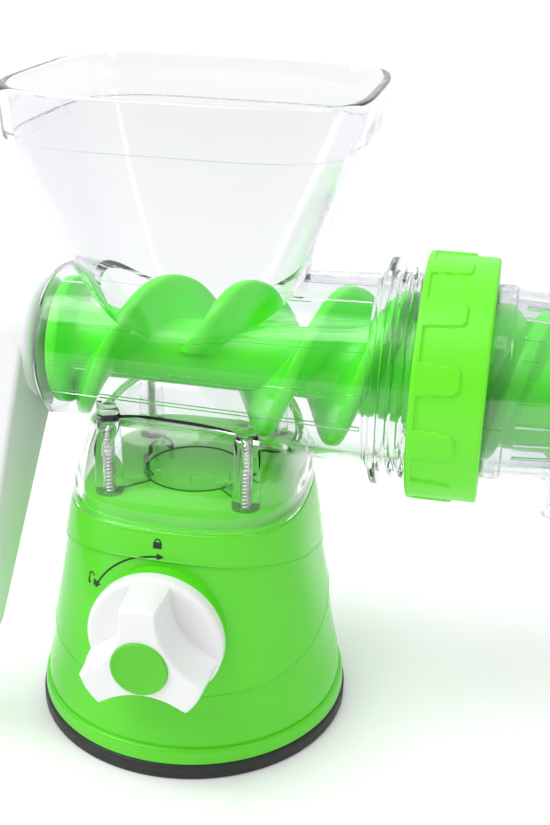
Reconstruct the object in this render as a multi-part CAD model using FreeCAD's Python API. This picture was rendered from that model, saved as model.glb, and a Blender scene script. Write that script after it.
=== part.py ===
import FreeCAD, Part
import math
import os
from FreeCAD import Vector

# Hand-cranked auger juicer on a suction base.  Lengths in mm.
# X runs along the feed barrel towards the outlet, Y away from the knob, Z up.
# The origin is the centre of the foot on the table.

# --- whole juicer ---
AXIS_Z = 155.0            # height of the barrel and auger axis
KNOB_Z = 60.5             # height of the lock knob's axis

# --- green base shell ---
BASE_PROFILE = [          # height, half width of the outer skin
    (6.5, 63.6), (20.0, 61.9), (30.0, 59.4), (47.0, 56.4),
    (60.0, 54.0), (75.0, 51.5), (90.0, 49.1), (100.0, 47.0),
]
BASE_BOTTOM_Z = 6.5
BASE_RIM_Z = 100.0
BASE_WALL = 3.2
BASE_POWER_LOW = 2.0      # 2 is a circle, larger is squarer
BASE_POWER_HIGH = 2.8
STEP_DEPTH = 0.7          # how far each upper tier overhangs the next
BELT_TOP_Z = 75.0         # upper belt line at the sides
BELT_TOP_SLOPE = -0.27    # it climbs towards the knob
BELT_LOW_Z = 47.0         # lower belt line at the sides
BELT_LOW_SLOPE = 0.22     # it dips towards the knob
FOOT_STEP_Z = 13.0
PLATEAU_Z = 104.5         # top of the raised plate inside the clear skirt
PLATEAU_HALF = 42.6
PLATE_THICK = 3.0
KNOB_SEAT_Y = -54.5
KNOB_SEAT_R = 25.5
KNOB_BOSS_R = 12.0
KNOB_BOSS_DEPTH = 13.5

# --- suction foot ---
RIM_R = 65.0
RIM_HEIGHT = 6.5
RIM_INNER_R = 53.5
MEMBRANE_THICK = 2.5
MEMBRANE_LOW_Z = 2.0
LIFT = 5.0                # pad travel between lock and release
PAD_R = 26.0
PAD_PLATE_R = 24.0
PAD_PLATE_THICK = 2.0
STEM_R = 7.0
STEM_FLANGE_R = 16.0
STEM_FLANGE_THICK = 2.5
STEM_DEPTH = 12.0         # yoke size along Y
STEM_SPIGOT_R = 5.0
STEM_SPIGOT_TOP = 96.0
STEM_SCREW_R = 2.5
YOKE_WALL = 4.9

# --- lock shaft and knob ---
CAM_THROW = 5.0           # eccentric offset
CAM_START = 150.0         # eccentric angle at lock, from +X towards +Z
CAM_R = 8.0
CAM_WIDTH = 11.0
CAM_SHAFT_R = 5.0
CAM_SHAFT_FRONT = -72.0
CAM_SHAFT_BACK = 26.0
CLIP_Y = 22.6
CLIP_THICK = 1.0
CLIP_R = 8.0
RUNNING_GAP = 0.05        # radial clearance of every turning or sliding fit
KNOB_BACK_Y = -55.0
KNOB_FRONT_Y = -79.0
KNOB_DISC_R = 26.6
KNOB_POCKET_R = KNOB_DISC_R + 1.6
KNOB_DISC_DEPTH = 6.0
KNOB_STAR_FRONT = (24.4, 41.8, 29.5)   # reach, distance and radius of the finger scoops
KNOB_STAR_BACK = (25.6, 36.1, 24.1)
KNOB_LOBE_TURN = 92.0     # direction of the first lobe at lock
KNOB_CAP_R = 11.0
KNOB_CAP_PROUD = 1.2
KNOB_CAP_SEAT = 2.0
KNOB_SCREW_R = 2.0
KNOB_SCREW_HEAD_R = 4.2
KNOB_BUSH_R = CAM_SHAFT_R + 3.0
KNOB_BUSH_FLANGE_R = KNOB_BUSH_R + 2.5
KNOB_BUSH_FLANGE_THICK = 2.5
FLAT_DEPTH = 1.2          # flat on the shaft that drives the knob
FLAT_LENGTH = 14.0

# --- bearing bridge inside the base ---
BRIDGE_TOP = 98.0
BRIDGE_THICK = 4.0
BRIDGE_HALF_X = 25.0
BRIDGE_FRONT_Y = -12.0
BRIDGE_BACK_Y = 22.0
BRIDGE_LEG_Y = 14.0
BRIDGE_LEG_HALF_X = 12.0
BRIDGE_LEG_BOTTOM = 50.0
GUIDE_R = 9.0
GUIDE_BOTTOM = 82.0
BRIDGE_SCREW_X = 19.0
BRIDGE_SCREW_Y = 4.0
BRIDGE_SCREW_R = 1.5
BRIDGE_SCREW_HEAD_R = 3.0
BRIDGE_POST_R = 4.5

# --- clear housing: pedestal, barrel and hopper in one moulding ---
PEDESTAL_SHAPE = [        # share of the way up to the axis, half width
    (0.0, 46.2), (0.145, 45.2), (0.29, 43.6),
    (0.436, 41.2), (0.564, 37.4), (0.673, 31.5), (0.745, 23.0),
]
PEDESTAL_PROFILE = [(BASE_RIM_Z + share * (AXIS_Z - BASE_RIM_Z), half)
                    for share, half in PEDESTAL_SHAPE]
PEDESTAL_POWER = 2.9
PEDESTAL_WALL = 2.6
BOSS_X = 27.0
BOSS_Y = 28.0
BOSS_R = 5.0
BODY_SCREW_R = 1.9
BODY_SCREW_HEAD_R = 4.0
BODY_SCREW_TIP = PLATEAU_Z + 28.5
RING_R = 21.5
RING_WALL = 1.8
RING_HEIGHT = 6.0
RING_NOTCHES = 8
RING_NOTCH_WIDTH = 7.0
RING_NOTCH_DEPTH = 3.0
RIB_THICK = 1.8
BARREL_BACK_X = -57.5
BARREL_END_X = 104.0
BARREL_STEP_X = BARREL_END_X - 34.0
BARREL_BACK_R = 31.2
BARREL_STEP_R = 36.8
BARREL_BACK_ROUND = 6.0
BARREL_BACK_WALL = 3.0
BORE_BACK_R = 29.3
BORE_FRONT_R = 32.6
BORE_FRONT_X = BARREL_STEP_X + 5.0
GROOVE_ANGLES = [88, 58, 25, 110, -88, -58, -25, -110]   # degrees from the top
GROOVE_WIDTH = 1.6
GROOVE_DEPTH = 0.7
STOP_FLANGE_X = BARREL_STEP_X + 3.2
STOP_FLANGE_THICK = 2.6
STOP_FLANGE_R = 43.3
HOPPER_SHAPE = [          # height over the axis, half X, half Y, squareness, centre X
    (-5.0, 22.0, 23.0, 2.6, 0.8), (5.0, 26.0, 26.5, 2.7, 0.8),
    (15.0, 31.0, 31.0, 2.8, 0.8), (26.0, 37.5, 36.0, 3.0, 0.8),
    (36.0, 42.4, 40.4, 3.2, 0.8), (47.0, 47.6, 45.0, 3.4, 0.7),
    (59.0, 52.0, 49.2, 3.7, 0.9), (73.0, 57.4, 54.0, 3.9, 1.4),
    (87.5, 62.3, 58.4, 4.1, 1.9),
]
HOPPER_SECTIONS = [(AXIS_Z + row[0],) + row[1:] for row in HOPPER_SHAPE]
HOPPER_TOP_Z = AXIS_Z + 105.0
HOPPER_BAND_LOW = (63.4, 59.4, 4.1, 1.9)
HOPPER_BAND_TOP = (64.6, 60.4, 4.1, 2.2)
HOPPER_WALL = 2.1
HOPPER_BAND_WALL = HOPPER_WALL + 0.9

# --- nut thread between barrel and ring nut ---
THREAD_PITCH = 4.0
THREAD_ROOT_R = 38.2
THREAD_HEIGHT = 1.8
THREAD_BASE = 1.9
THREAD_CREST = 0.9
THREAD_START_X = BARREL_END_X - 26.5
THREAD_TURNS = 6.0
THREAD_GAP = 0.4          # radial clearance of the nut's thread
NUT_THREAD_START_X = THREAD_START_X + 3.5 * THREAD_PITCH
NUT_THREAD_TURNS = 3.0

# --- rear bearing, drive shaft and crank ---
JOURNAL_R = 8.0
BUSH_R = JOURNAL_R + 2.0
BUSH_FLANGE_R = BUSH_R + 3.0
BUSH_FLANGE_THICK = 1.5
SEAL_R = JOURNAL_R + 5.0
SHAFT_FLATS = 11.0        # across flats of the hex drive shaft
SHAFT_GAP = 0.05
SHAFT_INNER_X = -28.0
SHAFT_OUTER_X = -70.0
CRANK_HUB_R = 24.0
CRANK_INNER_X = -59.6
CRANK_OUTER_X = -73.5
CRANK_ARM_INNER_X = -62.5
CRANK_REACH = 108.0
CRANK_END_R = 12.0
CRANK_LEAN = -35.0        # degrees the arm leans towards the knob side
CRANK_SCREW_R = 3.0
CRANK_SCREW_HEAD_R = 9.0
CRANK_SCREW_HEAD = 5.0
WASHER_R = 10.5
WASHER_THICK = 1.5
GRIP_PIN_R = 4.0
GRIP_PIN_HEAD_R = GRIP_PIN_R + 2.0
GRIP_WASHER_R = GRIP_PIN_R + 4.5
GRIP_INNER_X = -75.0
GRIP_LENGTH = 76.0
GRIP_PROFILE = [          # distance from the arm, radius
    (0.0, 10.5), (4.0, 12.5), (22.0, 11.2),
    (46.0, 12.8), (66.0, 13.4), (73.0, 12.2), (76.0, 9.0),
]

# --- auger ---
DRAWN_END_X = 104.0       # barrel end that the auger and head stations are drawn for


def along(x):
    """Keeps a station in step with the barrel's length."""
    if x > DRAWN_END_X:
        return x + BARREL_END_X - DRAWN_END_X
    if x > 0:
        return x * BARREL_END_X / DRAWN_END_X
    return x


def shifted(profile):
    return [(along(x), r) for x, r in profile]


AUGER_DISC_R = 25.0
AUGER_DISC_X = -53.0
AUGER_DISC_THICK = 4.0
CORE_PROFILE = shifted([  # x, core radius
    (-52.5, 15.2), (-40.0, 13.6), (20.0, 13.6), (48.0, 13.9),
    (66.0, 17.4), (84.0, 19.8), (104.0, 22.2), (125.0, 24.6),
    (146.0, 23.6), (160.0, 20.8), (171.0, 14.6), (178.0, 9.0),
])
FLIGHT_PROFILE = shifted([  # x, flight radius
    (-60.0, 28.6), (-50.0, 28.7), (20.0, 29.9), (75.0, 31.0),
    (104.0, 30.2), (118.0, 29.3), (140.0, 27.9), (160.0, 25.6), (175.0, 18.0),
])
FLIGHT_A = [along(x) for x in (-47.0, -14.0, 25.0, 57.0, 87.0, 114.0, 139.0, 161.0)]
FLIGHT_A_START = 0.0     # half turns, 0 is straight down
FLIGHT_A_END = 6.6
FLIGHT_B = [along(x) for x in (17.0, 52.0, 80.0, 107.0, 132.0, 155.0)]
FLIGHT_B_START = -0.4    # half turns, 0 is straight up
FLIGHT_B_END = 4.7
FLIGHT_ROOT = 10.5        # thickness at the core, along X
FLIGHT_CREST = 5.2
FLIGHT_STEP = 15.0        # degrees between sections
TIP_R = 5.0
TIP_END_X = along(190.0)

# --- outlet head, strainer and bearing ---
BARREL_SEAL = (34.8, 38.0)
BARREL_SEAL_THICK = 1.4
HEAD_FLANGE_X = BARREL_END_X + BARREL_SEAL_THICK
HEAD_FLANGE_THICK = 4.0
HEAD_FLANGE_R = THREAD_ROOT_R + THREAD_HEIGHT + THREAD_GAP - 0.3
HEAD_PROFILE = shifted([  # x, outer radius behind the collar
    (120.4, 35.6), (135.0, 34.6), (158.0, 33.0), (168.0, 28.0), (177.0, 16.0),
])
HEAD_COLLAR_R = 36.5
HEAD_COLLAR_END_X = along(120.0)
HEAD_BORE_PROFILE = shifted([  # x, inner radius
    (118.0, 33.4), (135.0, 32.4), (157.0, 30.8), (166.5, 25.8), (176.0, 13.6),
])
HEAD_SOCKET_R = 34.2
STRAINER_SEAT_X = HEAD_BORE_PROFILE[0][0]
NOZZLE_R = 16.0
NOZZLE_BORE_R = 13.6
NOZZLE_END_X = along(200.0)
NOZZLE_WALL_X = NOZZLE_END_X - 3.0
NOZZLE_BEAD_R = NOZZLE_R + 0.5
NOZZLE_BEAD_X = NOZZLE_END_X - 5.5
SPOUT_X = along(146.0)
SPOUT_R = 9.0
SPOUT_BORE_R = 7.0
SPOUT_BOTTOM_Z = AXIS_Z - 51.0
COLLAR_RIB_ANGLES = [150, 185, 330, 10]
STRAINER_FLANGE_R = HEAD_SOCKET_R - 0.1
STRAINER_FLANGE_X = STRAINER_SEAT_X - 3.5
STRAINER_PROFILE = shifted([  # x, outer radius
    (118.0, 31.6), (140.0, 30.2), (160.0, 28.0),
])
STRAINER_WALL = 1.4
STRAINER_SLOTS = 24
STRAINER_SLOT_WIDTH = 0.9
STRAINER_SLOT_X = (along(124.0), along(154.0))
BEARING_X = NOZZLE_END_X - 20.0
BEARING_LENGTH = 8.0
BEARING_HUB_R = TIP_R + 3.0
BEARING_RING = 1.6
BEARING_SPOKE = 2.4

# --- ring nut ---
NUT_X = BARREL_END_X - 17.0
NUT_END_X = NUT_X + 26.0
NUT_R = 45.9
NUT_TAB_RISE = 0.9
NUT_TABS = 12
NUT_TAB_TURN = 10.7       # degrees from the top to the first tab at rest
NUT_TAB_LENGTH = 17.0
NUT_TAB_WIDTH = 12.0
NUT_BAND = 2.4
NUT_LIP_X = HEAD_FLANGE_X + HEAD_FLANGE_THICK + 0.1
NUT_LIP_BORE_R = HEAD_COLLAR_R + 0.5
NUT_ROUND = 0.8

# --- pulp regulator ---
REGULATOR_R = NOZZLE_R + 3.5
REGULATOR_X = NOZZLE_END_X - 9.0
REGULATOR_END_X = NOZZLE_END_X + 4.5
REGULATOR_WALL_X = NOZZLE_END_X + 0.2
REGULATOR_WING = 8.0
PORT_ANGLE = 70.0
PORT_INNER_R = 5.5
PORT_OUTER_R = 12.6


def cyl_x(radius, x0, x1, y=0.0, z=AXIS_Z):
    return Part.makeCylinder(radius, x1 - x0, Vector(x0, y, z), Vector(1, 0, 0))


def cyl_y(radius, y0, y1, x=0.0, z=KNOB_Z):
    return Part.makeCylinder(radius, y1 - y0, Vector(x, y0, z), Vector(0, 1, 0))


def cyl_z(radius, z0, z1, x=0.0, y=0.0):
    return Part.makeCylinder(radius, z1 - z0, Vector(x, y, z0))


def block(x0, x1, y0, y1, z0, z1):
    return Part.makeBox(x1 - x0, y1 - y0, z1 - z0, Vector(x0, y0, z0))


def tube_x(outer, inner, x0, x1):
    return cyl_x(outer, x0, x1).cut(cyl_x(inner, x0 - 1, x1 + 1))


def turned_x(points):
    """Solid of revolution about the barrel axis from (x, radius) points."""
    corners = [Vector(x, 0, AXIS_Z + r) for x, r in points]
    face = Part.Face(Part.makePolygon(corners + corners[:1]))
    return face.revolve(Vector(0, 0, AXIS_Z), Vector(1, 0, 0), 360)


def turned_z(points):
    """Solid of revolution about the base axis from (radius, z) points."""
    corners = [Vector(r, 0, z) for r, z in points]
    face = Part.Face(Part.makePolygon(corners + corners[:1]))
    return face.revolve(Vector(0, 0, 0), Vector(0, 0, 1), 360)


def turned_curve_x(profile):
    """Solid about the barrel axis whose outline is a smooth curve through (x, radius)."""
    curve = Part.BSplineCurve()
    curve.interpolate([Vector(x, 0, AXIS_Z + r) for x, r in profile])
    first, last = profile[0], profile[-1]
    low = Vector(first[0], 0, AXIS_Z)
    high = Vector(last[0], 0, AXIS_Z)
    edges = [
        Part.makeLine(low, Vector(first[0], 0, AXIS_Z + first[1])),
        curve.toShape(),
        Part.makeLine(Vector(last[0], 0, AXIS_Z + last[1]), high),
        Part.makeLine(high, low),
    ]
    face = Part.Face(Part.Wire(edges))
    return face.revolve(Vector(0, 0, AXIS_Z), Vector(1, 0, 0), 360)


def between(table, value):
    """Straight-line lookup in a table of (value, result) pairs."""
    if value <= table[0][0]:
        return table[0][1]
    for (v0, r0), (v1, r1) in zip(table, table[1:]):
        if value <= v1:
            return r0 + (r1 - r0) * (value - v0) / (v1 - v0)
    return table[-1][1]


def rounded_radius(half_x, half_y, power, angle):
    """Distance from centre to edge of a rounded square in one direction."""
    cx = abs(math.cos(angle)) / half_x
    cy = abs(math.sin(angle)) / half_y
    return (cx ** power + cy ** power) ** (-1.0 / power)


def closed_wire(points):
    curve = Part.BSplineCurve()
    curve.interpolate(Points=points, PeriodicFlag=True)
    return Part.Wire(curve.toShape())


def rounded_wire(z, half_x, half_y, power, centre_x=0.0):
    points = []
    for i in range(32):
        angle = 2 * math.pi * i / 32
        r = rounded_radius(half_x, half_y, power, angle)
        points.append(Vector(centre_x + r * math.cos(angle), r * math.sin(angle), z))
    return closed_wire(points)


def drilled(solid, holes):
    return solid.cut(Part.makeCompound(holes))


# --- base ---

def base_power(z):
    share = (z - BASE_BOTTOM_Z) / (BASE_RIM_Z - BASE_BOTTOM_Z)
    return BASE_POWER_LOW + (BASE_POWER_HIGH - BASE_POWER_LOW) * max(0.0, min(1.0, share))


def base_wire(z_side, slope, inset):
    """Outline of the base in a plane that tips towards the knob."""
    points = []
    for i in range(32):
        angle = 2 * math.pi * i / 32
        z = z_side
        for _ in range(12):
            half = between(BASE_PROFILE, z) - inset
            r = rounded_radius(half, half, base_power(z), angle)
            z = z_side + slope * r * math.sin(angle)
        points.append(Vector(r * math.cos(angle), r * math.sin(angle), z))
    return closed_wire(points)


def base_tier(low_z, low_slope, high_z, high_slope, inset):
    wires = []
    for i in range(5):
        t = i / 4.0
        z = low_z + (high_z - low_z) * t
        slope = low_slope + (high_slope - low_slope) * t
        wires.append(base_wire(z, slope, inset * t))
    return Part.makeLoft(wires, True, False)


def base_cavity():
    wires = []
    for z in (BASE_BOTTOM_Z - 1, 20, 40, 60, 80, BASE_RIM_Z - PLATE_THICK):
        half = between(BASE_PROFILE, z) - BASE_WALL
        wires.append(rounded_wire(z, half, half, base_power(z)))
    low = Part.makeLoft(wires, True, False)
    half = PLATEAU_HALF - BASE_WALL
    low_z = BASE_RIM_Z - PLATE_THICK - 1
    upper = Part.makeLoft([
        rounded_wire(low_z, half, half, PEDESTAL_POWER),
        rounded_wire(PLATEAU_Z - PLATE_THICK, half, half, PEDESTAL_POWER),
    ], True, True)
    return low.fuse(upper)


def make_base_shell():
    tiers = [
        base_tier(BASE_BOTTOM_Z, 0.0, FOOT_STEP_Z, 0.0, STEP_DEPTH),
        base_tier(FOOT_STEP_Z, 0.0, BELT_LOW_Z, BELT_LOW_SLOPE, STEP_DEPTH),
        base_tier(BELT_LOW_Z, BELT_LOW_SLOPE, BELT_TOP_Z, BELT_TOP_SLOPE, STEP_DEPTH),
        base_tier(BELT_TOP_Z, BELT_TOP_SLOPE, BASE_RIM_Z, 0.0, 0.0),
    ]
    plateau = Part.makeLoft([
        rounded_wire(BASE_RIM_Z - 1, PLATEAU_HALF, PLATEAU_HALF, PEDESTAL_POWER),
        rounded_wire(PLATEAU_Z, PLATEAU_HALF, PLATEAU_HALF, PEDESTAL_POWER),
    ], True, True)
    seat = cyl_y(KNOB_SEAT_R, KNOB_SEAT_Y, KNOB_SEAT_Y + 12)
    body = tiers[0].multiFuse(tiers[1:] + [plateau, seat])
    body = body.cut(cyl_y(KNOB_POCKET_R, KNOB_SEAT_Y - 40, KNOB_SEAT_Y))
    cavity = base_cavity()
    seat_back = cyl_y(KNOB_POCKET_R + BASE_WALL, KNOB_SEAT_Y - 4, KNOB_SEAT_Y + BASE_WALL)
    boss = cyl_y(KNOB_BOSS_R, KNOB_SEAT_Y - 1, KNOB_SEAT_Y + KNOB_BOSS_DEPTH)
    posts = []
    for x in (-BRIDGE_SCREW_X, BRIDGE_SCREW_X):
        posts.append(cyl_z(BRIDGE_POST_R, BRIDGE_TOP, PLATEAU_Z - 1, x, BRIDGE_SCREW_Y))
    body = body.cut(cavity.cut(seat_back.multiFuse([boss] + posts)))
    holes = [cyl_y(KNOB_BUSH_R, KNOB_SEAT_Y - 5, KNOB_SEAT_Y + KNOB_BOSS_DEPTH + 5)]
    for x in (-BRIDGE_SCREW_X, BRIDGE_SCREW_X):
        holes.append(cyl_z(BRIDGE_SCREW_R, BRIDGE_TOP - 1, PLATEAU_Z - 1.2, x, BRIDGE_SCREW_Y))
    for x, y in boss_places():
        holes.append(cyl_z(BODY_SCREW_R + 0.3, 90, PLATEAU_Z + 1, x, y))
    return drilled(body, holes)


def boss_places():
    return [(sx * BOSS_X, sy * BOSS_Y) for sx in (-1, 1) for sy in (-1, 1)]


# --- suction foot ---

def make_rubber_rim():
    wall_r = between(BASE_PROFILE, BASE_BOTTOM_Z) - BASE_WALL
    return turned_z([
        (RIM_INNER_R, MEMBRANE_LOW_Z), (RIM_INNER_R + 4, 0.0), (RIM_R - 0.8, 0.0),
        (RIM_R, 0.8), (RIM_R, RIM_HEIGHT - 1.0), (RIM_R - 0.9, RIM_HEIGHT),
        (wall_r - 0.2, RIM_HEIGHT), (wall_r - 0.2, RIM_HEIGHT + 3),
        (wall_r - 2.8, RIM_HEIGHT + 3), (wall_r - 2.8, MEMBRANE_LOW_Z + MEMBRANE_THICK),
        (RIM_INNER_R, MEMBRANE_LOW_Z + MEMBRANE_THICK),
    ])


def make_rubber_membrane():
    low = MEMBRANE_LOW_Z
    return turned_z([
        (PAD_R, low + LIFT), (RIM_INNER_R, low),
        (RIM_INNER_R, low + MEMBRANE_THICK), (PAD_R, low + LIFT + MEMBRANE_THICK),
    ])


def pad_top():
    return MEMBRANE_LOW_Z + LIFT + MEMBRANE_THICK


def make_pad_centre():
    disc = cyl_z(PAD_R, MEMBRANE_LOW_Z + LIFT, pad_top())
    return disc.cut(cyl_z(4.6, pad_top() - 1.6, pad_top() + 1))


def make_pad_plate():
    plate = cyl_z(PAD_PLATE_R, pad_top(), pad_top() + PAD_PLATE_THICK)
    return plate.cut(cyl_z(STEM_SCREW_R + 0.1, pad_top() - 1, pad_top() + 5))


def yoke_centre_z():
    return KNOB_Z + CAM_THROW * math.sin(math.radians(CAM_START))


def make_pad_stem():
    low = pad_top() + PAD_PLATE_THICK
    half = STEM_DEPTH / 2
    slot_half = CAM_R + 0.08
    slot_reach = CAM_THROW + CAM_R + 1.2
    zc = yoke_centre_z()
    yoke_half = slot_half + YOKE_WALL
    yoke = block(-slot_reach - YOKE_WALL, slot_reach + YOKE_WALL, -half, half,
                 zc - yoke_half, zc + yoke_half)
    flange = cyl_z(STEM_FLANGE_R, low, low + STEM_FLANGE_THICK)
    column = cyl_z(STEM_R, low, zc - yoke_half + 1)
    spigot = cyl_z(STEM_SPIGOT_R, zc + yoke_half - 1, STEM_SPIGOT_TOP)
    webs = block(-STEM_FLANGE_R + 3, STEM_FLANGE_R - 3, -1.5, 1.5, low + 1, zc - yoke_half + 1)
    stem = yoke.multiFuse([flange, column, spigot, webs])
    slot = block(-slot_reach, slot_reach, -half - 1, half + 1, zc - slot_half, zc + slot_half)
    screw_hole = cyl_z(STEM_SCREW_R, low - 1, low + 18)
    return stem.cut(slot).cut(screw_hole)


def make_stem_screw():
    head = cyl_z(4.4, pad_top() - 1.5, pad_top())
    return head.fuse(cyl_z(STEM_SCREW_R, pad_top() - 1, pad_top() + PAD_PLATE_THICK + 15))


# --- lock shaft, knob ---

def shaft_flat():
    return block(-CAM_SHAFT_R - 1, CAM_SHAFT_R + 1, CAM_SHAFT_FRONT - 1, CAM_SHAFT_FRONT + FLAT_LENGTH,
                 KNOB_Z + CAM_SHAFT_R - FLAT_DEPTH, KNOB_Z + CAM_SHAFT_R + 2)


def make_cam_shaft():
    angle = math.radians(CAM_START)
    cam_x = CAM_THROW * math.cos(angle)
    cam_z = KNOB_Z + CAM_THROW * math.sin(angle)
    shaft = cyl_y(CAM_SHAFT_R, CAM_SHAFT_FRONT, CAM_SHAFT_BACK)
    shaft = shaft.fuse(cyl_y(CAM_R, -CAM_WIDTH / 2, CAM_WIDTH / 2, cam_x, cam_z))
    groove = cyl_y(CAM_SHAFT_R + 1, CLIP_Y, CLIP_Y + CLIP_THICK)
    groove = groove.cut(cyl_y(CAM_SHAFT_R - 0.8, CLIP_Y - 1, CLIP_Y + CLIP_THICK + 1))
    tap = cyl_y(KNOB_SCREW_R, CAM_SHAFT_FRONT - 1, CAM_SHAFT_FRONT + 14)
    return shaft.cut(shaft_flat()).cut(groove).cut(tap)


def make_shaft_clip():
    ring = cyl_y(CLIP_R, CLIP_Y, CLIP_Y + CLIP_THICK)
    ring = ring.cut(cyl_y(CAM_SHAFT_R - 0.8, CLIP_Y - 1, CLIP_Y + CLIP_THICK + 1))
    gap = block(-CAM_SHAFT_R + 1.5, CAM_SHAFT_R - 1.5, CLIP_Y - 1, CLIP_Y + CLIP_THICK + 1,
                KNOB_Z - CLIP_R - 1, KNOB_Z)
    return ring.cut(gap)


def make_front_bush():
    y0 = KNOB_SEAT_Y
    y1 = KNOB_SEAT_Y + KNOB_BOSS_DEPTH
    y2 = y1 + KNOB_BUSH_FLANGE_THICK
    bush = cyl_y(KNOB_BUSH_R, y0, y2).fuse(cyl_y(KNOB_BUSH_FLANGE_R, y1, y2))
    return bush.cut(cyl_y(CAM_SHAFT_R + RUNNING_GAP, y0 - 1, y2 + 1))


def polar(y, angle, radius):
    return Vector(radius * math.cos(angle), y, KNOB_Z + radius * math.sin(angle))


def star_wire(y, reach, distance, scoop_r):
    """Three rounded lobes with a finger scoop between each pair."""
    share = (reach ** 2 + distance ** 2 - scoop_r ** 2) / (2 * reach * distance)
    half = math.pi / 3 - math.acos(share)
    edges = []
    for i in range(3):
        middle = math.radians(KNOB_LOBE_TURN + 120 * i)
        valley = middle + math.pi / 3
        edges.append(Part.Arc(polar(y, middle - half, reach), polar(y, middle, reach),
                              polar(y, middle + half, reach)).toShape())
        edges.append(Part.Arc(polar(y, middle + half, reach), polar(y, valley, distance - scoop_r),
                              polar(y, middle + 2 * math.pi / 3 - half, reach)).toShape())
    return Part.Wire(edges)


def make_knob():
    disc = cyl_y(KNOB_DISC_R, KNOB_BACK_Y - KNOB_DISC_DEPTH, KNOB_BACK_Y)
    star = Part.makeLoft([
        star_wire(KNOB_BACK_Y - KNOB_DISC_DEPTH + 1, *KNOB_STAR_BACK),
        star_wire(KNOB_FRONT_Y, *KNOB_STAR_FRONT),
    ], True, True)
    knob = disc.fuse(star)
    socket = cyl_y(CAM_SHAFT_R, CAM_SHAFT_FRONT, KNOB_BACK_Y + 1)
    socket = socket.cut(shaft_flat())
    cap_seat = cyl_y(KNOB_CAP_R, KNOB_FRONT_Y - 1, KNOB_FRONT_Y + KNOB_CAP_SEAT)
    screw_way = cyl_y(KNOB_SCREW_HEAD_R + 0.2, KNOB_FRONT_Y - 1, KNOB_FRONT_Y + 4.5)
    screw_hole = cyl_y(KNOB_SCREW_R + 0.1, KNOB_FRONT_Y, CAM_SHAFT_FRONT + 1)
    return drilled(knob, [socket.multiFuse([cap_seat, screw_way, screw_hole])])


def make_knob_cap():
    front = KNOB_FRONT_Y - KNOB_CAP_PROUD
    cap = cyl_y(KNOB_CAP_R, front, KNOB_FRONT_Y + KNOB_CAP_SEAT)
    return cap.makeChamfer(0.6, [e for e in cap.Edges
                                 if abs(e.CenterOfMass.y - front) < 0.01 and e.Length > 30])


def make_knob_screw():
    head = cyl_y(KNOB_SCREW_HEAD_R, KNOB_FRONT_Y + KNOB_CAP_SEAT + 0.1, KNOB_FRONT_Y + 4.5)
    return head.fuse(cyl_y(KNOB_SCREW_R, KNOB_FRONT_Y + 4, CAM_SHAFT_FRONT + 13))


def make_bearing_bridge():
    plate = block(-BRIDGE_HALF_X, BRIDGE_HALF_X, BRIDGE_FRONT_Y, BRIDGE_BACK_Y,
                  BRIDGE_TOP - BRIDGE_THICK, BRIDGE_TOP)
    leg = block(-BRIDGE_LEG_HALF_X, BRIDGE_LEG_HALF_X, BRIDGE_LEG_Y, BRIDGE_BACK_Y,
                BRIDGE_LEG_BOTTOM, BRIDGE_TOP - 1)
    guide = cyl_z(GUIDE_R, GUIDE_BOTTOM, BRIDGE_TOP)
    bridge = plate.multiFuse([leg, guide])
    holes = [
        cyl_y(CAM_SHAFT_R + RUNNING_GAP, BRIDGE_LEG_Y - 1, BRIDGE_BACK_Y + 1),
        cyl_z(STEM_SPIGOT_R + RUNNING_GAP, GUIDE_BOTTOM - 1, BRIDGE_TOP + 1),
    ]
    for x in (-BRIDGE_SCREW_X, BRIDGE_SCREW_X):
        holes.append(cyl_z(BRIDGE_SCREW_R + 0.2, BRIDGE_TOP - 8, BRIDGE_TOP + 1, x, BRIDGE_SCREW_Y))
    return drilled(bridge, holes)


def screw_z(radius, head_r, head_low, head_high, tip_z, x, y):
    """Upright screw with its head underneath and a pointed tip."""
    head = cyl_z(head_r, head_low, head_high, x, y)
    shank = cyl_z(radius, head_high - 0.5, tip_z - 2, x, y)
    point = Part.makeCone(radius, 0.4, 2, Vector(x, y, tip_z - 2))
    return head.multiFuse([shank, point])


def make_bridge_screws():
    low = BRIDGE_TOP - BRIDGE_THICK
    screws = []
    for x in (-BRIDGE_SCREW_X, BRIDGE_SCREW_X):
        screws.append(screw_z(BRIDGE_SCREW_R, BRIDGE_SCREW_HEAD_R, low - 1.8, low, PLATEAU_Z - 1.3, x, BRIDGE_SCREW_Y))
    return Part.makeCompound(screws)


def make_body_screws():
    plate_low = PLATEAU_Z - PLATE_THICK
    screws = []
    for x, y in boss_places():
        screws.append(screw_z(BODY_SCREW_R, BODY_SCREW_HEAD_R, plate_low - 2.4, plate_low, BODY_SCREW_TIP, x, y))
    return Part.makeCompound(screws)


# --- clear housing ---

def pedestal_solid(wall, low_z, drop):
    wires = []
    for z, half in PEDESTAL_PROFILE:
        wires.append(rounded_wire(z - drop, half - wall, half - wall, PEDESTAL_POWER))
    if low_z < PEDESTAL_PROFILE[0][0] - drop:
        half = PEDESTAL_PROFILE[0][1] - wall
        wires.insert(0, rounded_wire(low_z, half, half, PEDESTAL_POWER))
    return Part.makeLoft(wires, True, False)


def hopper_solid(wall):
    wires = []
    for z, half_x, half_y, power, centre in HOPPER_SECTIONS:
        wires.append(rounded_wire(z, half_x - wall, half_y - wall, power, centre))
    return Part.makeLoft(wires, True, False)


def hopper_band(wall, extra):
    low_z = HOPPER_SECTIONS[-1][0]
    ax, ay, power, centre = HOPPER_BAND_LOW
    bx, by, power_top, centre_top = HOPPER_BAND_TOP
    return Part.makeLoft([
        rounded_wire(low_z, ax - wall, ay - wall, power, centre),
        rounded_wire(HOPPER_TOP_Z + extra, bx - wall, by - wall, power_top, centre_top),
    ], True, True)


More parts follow.
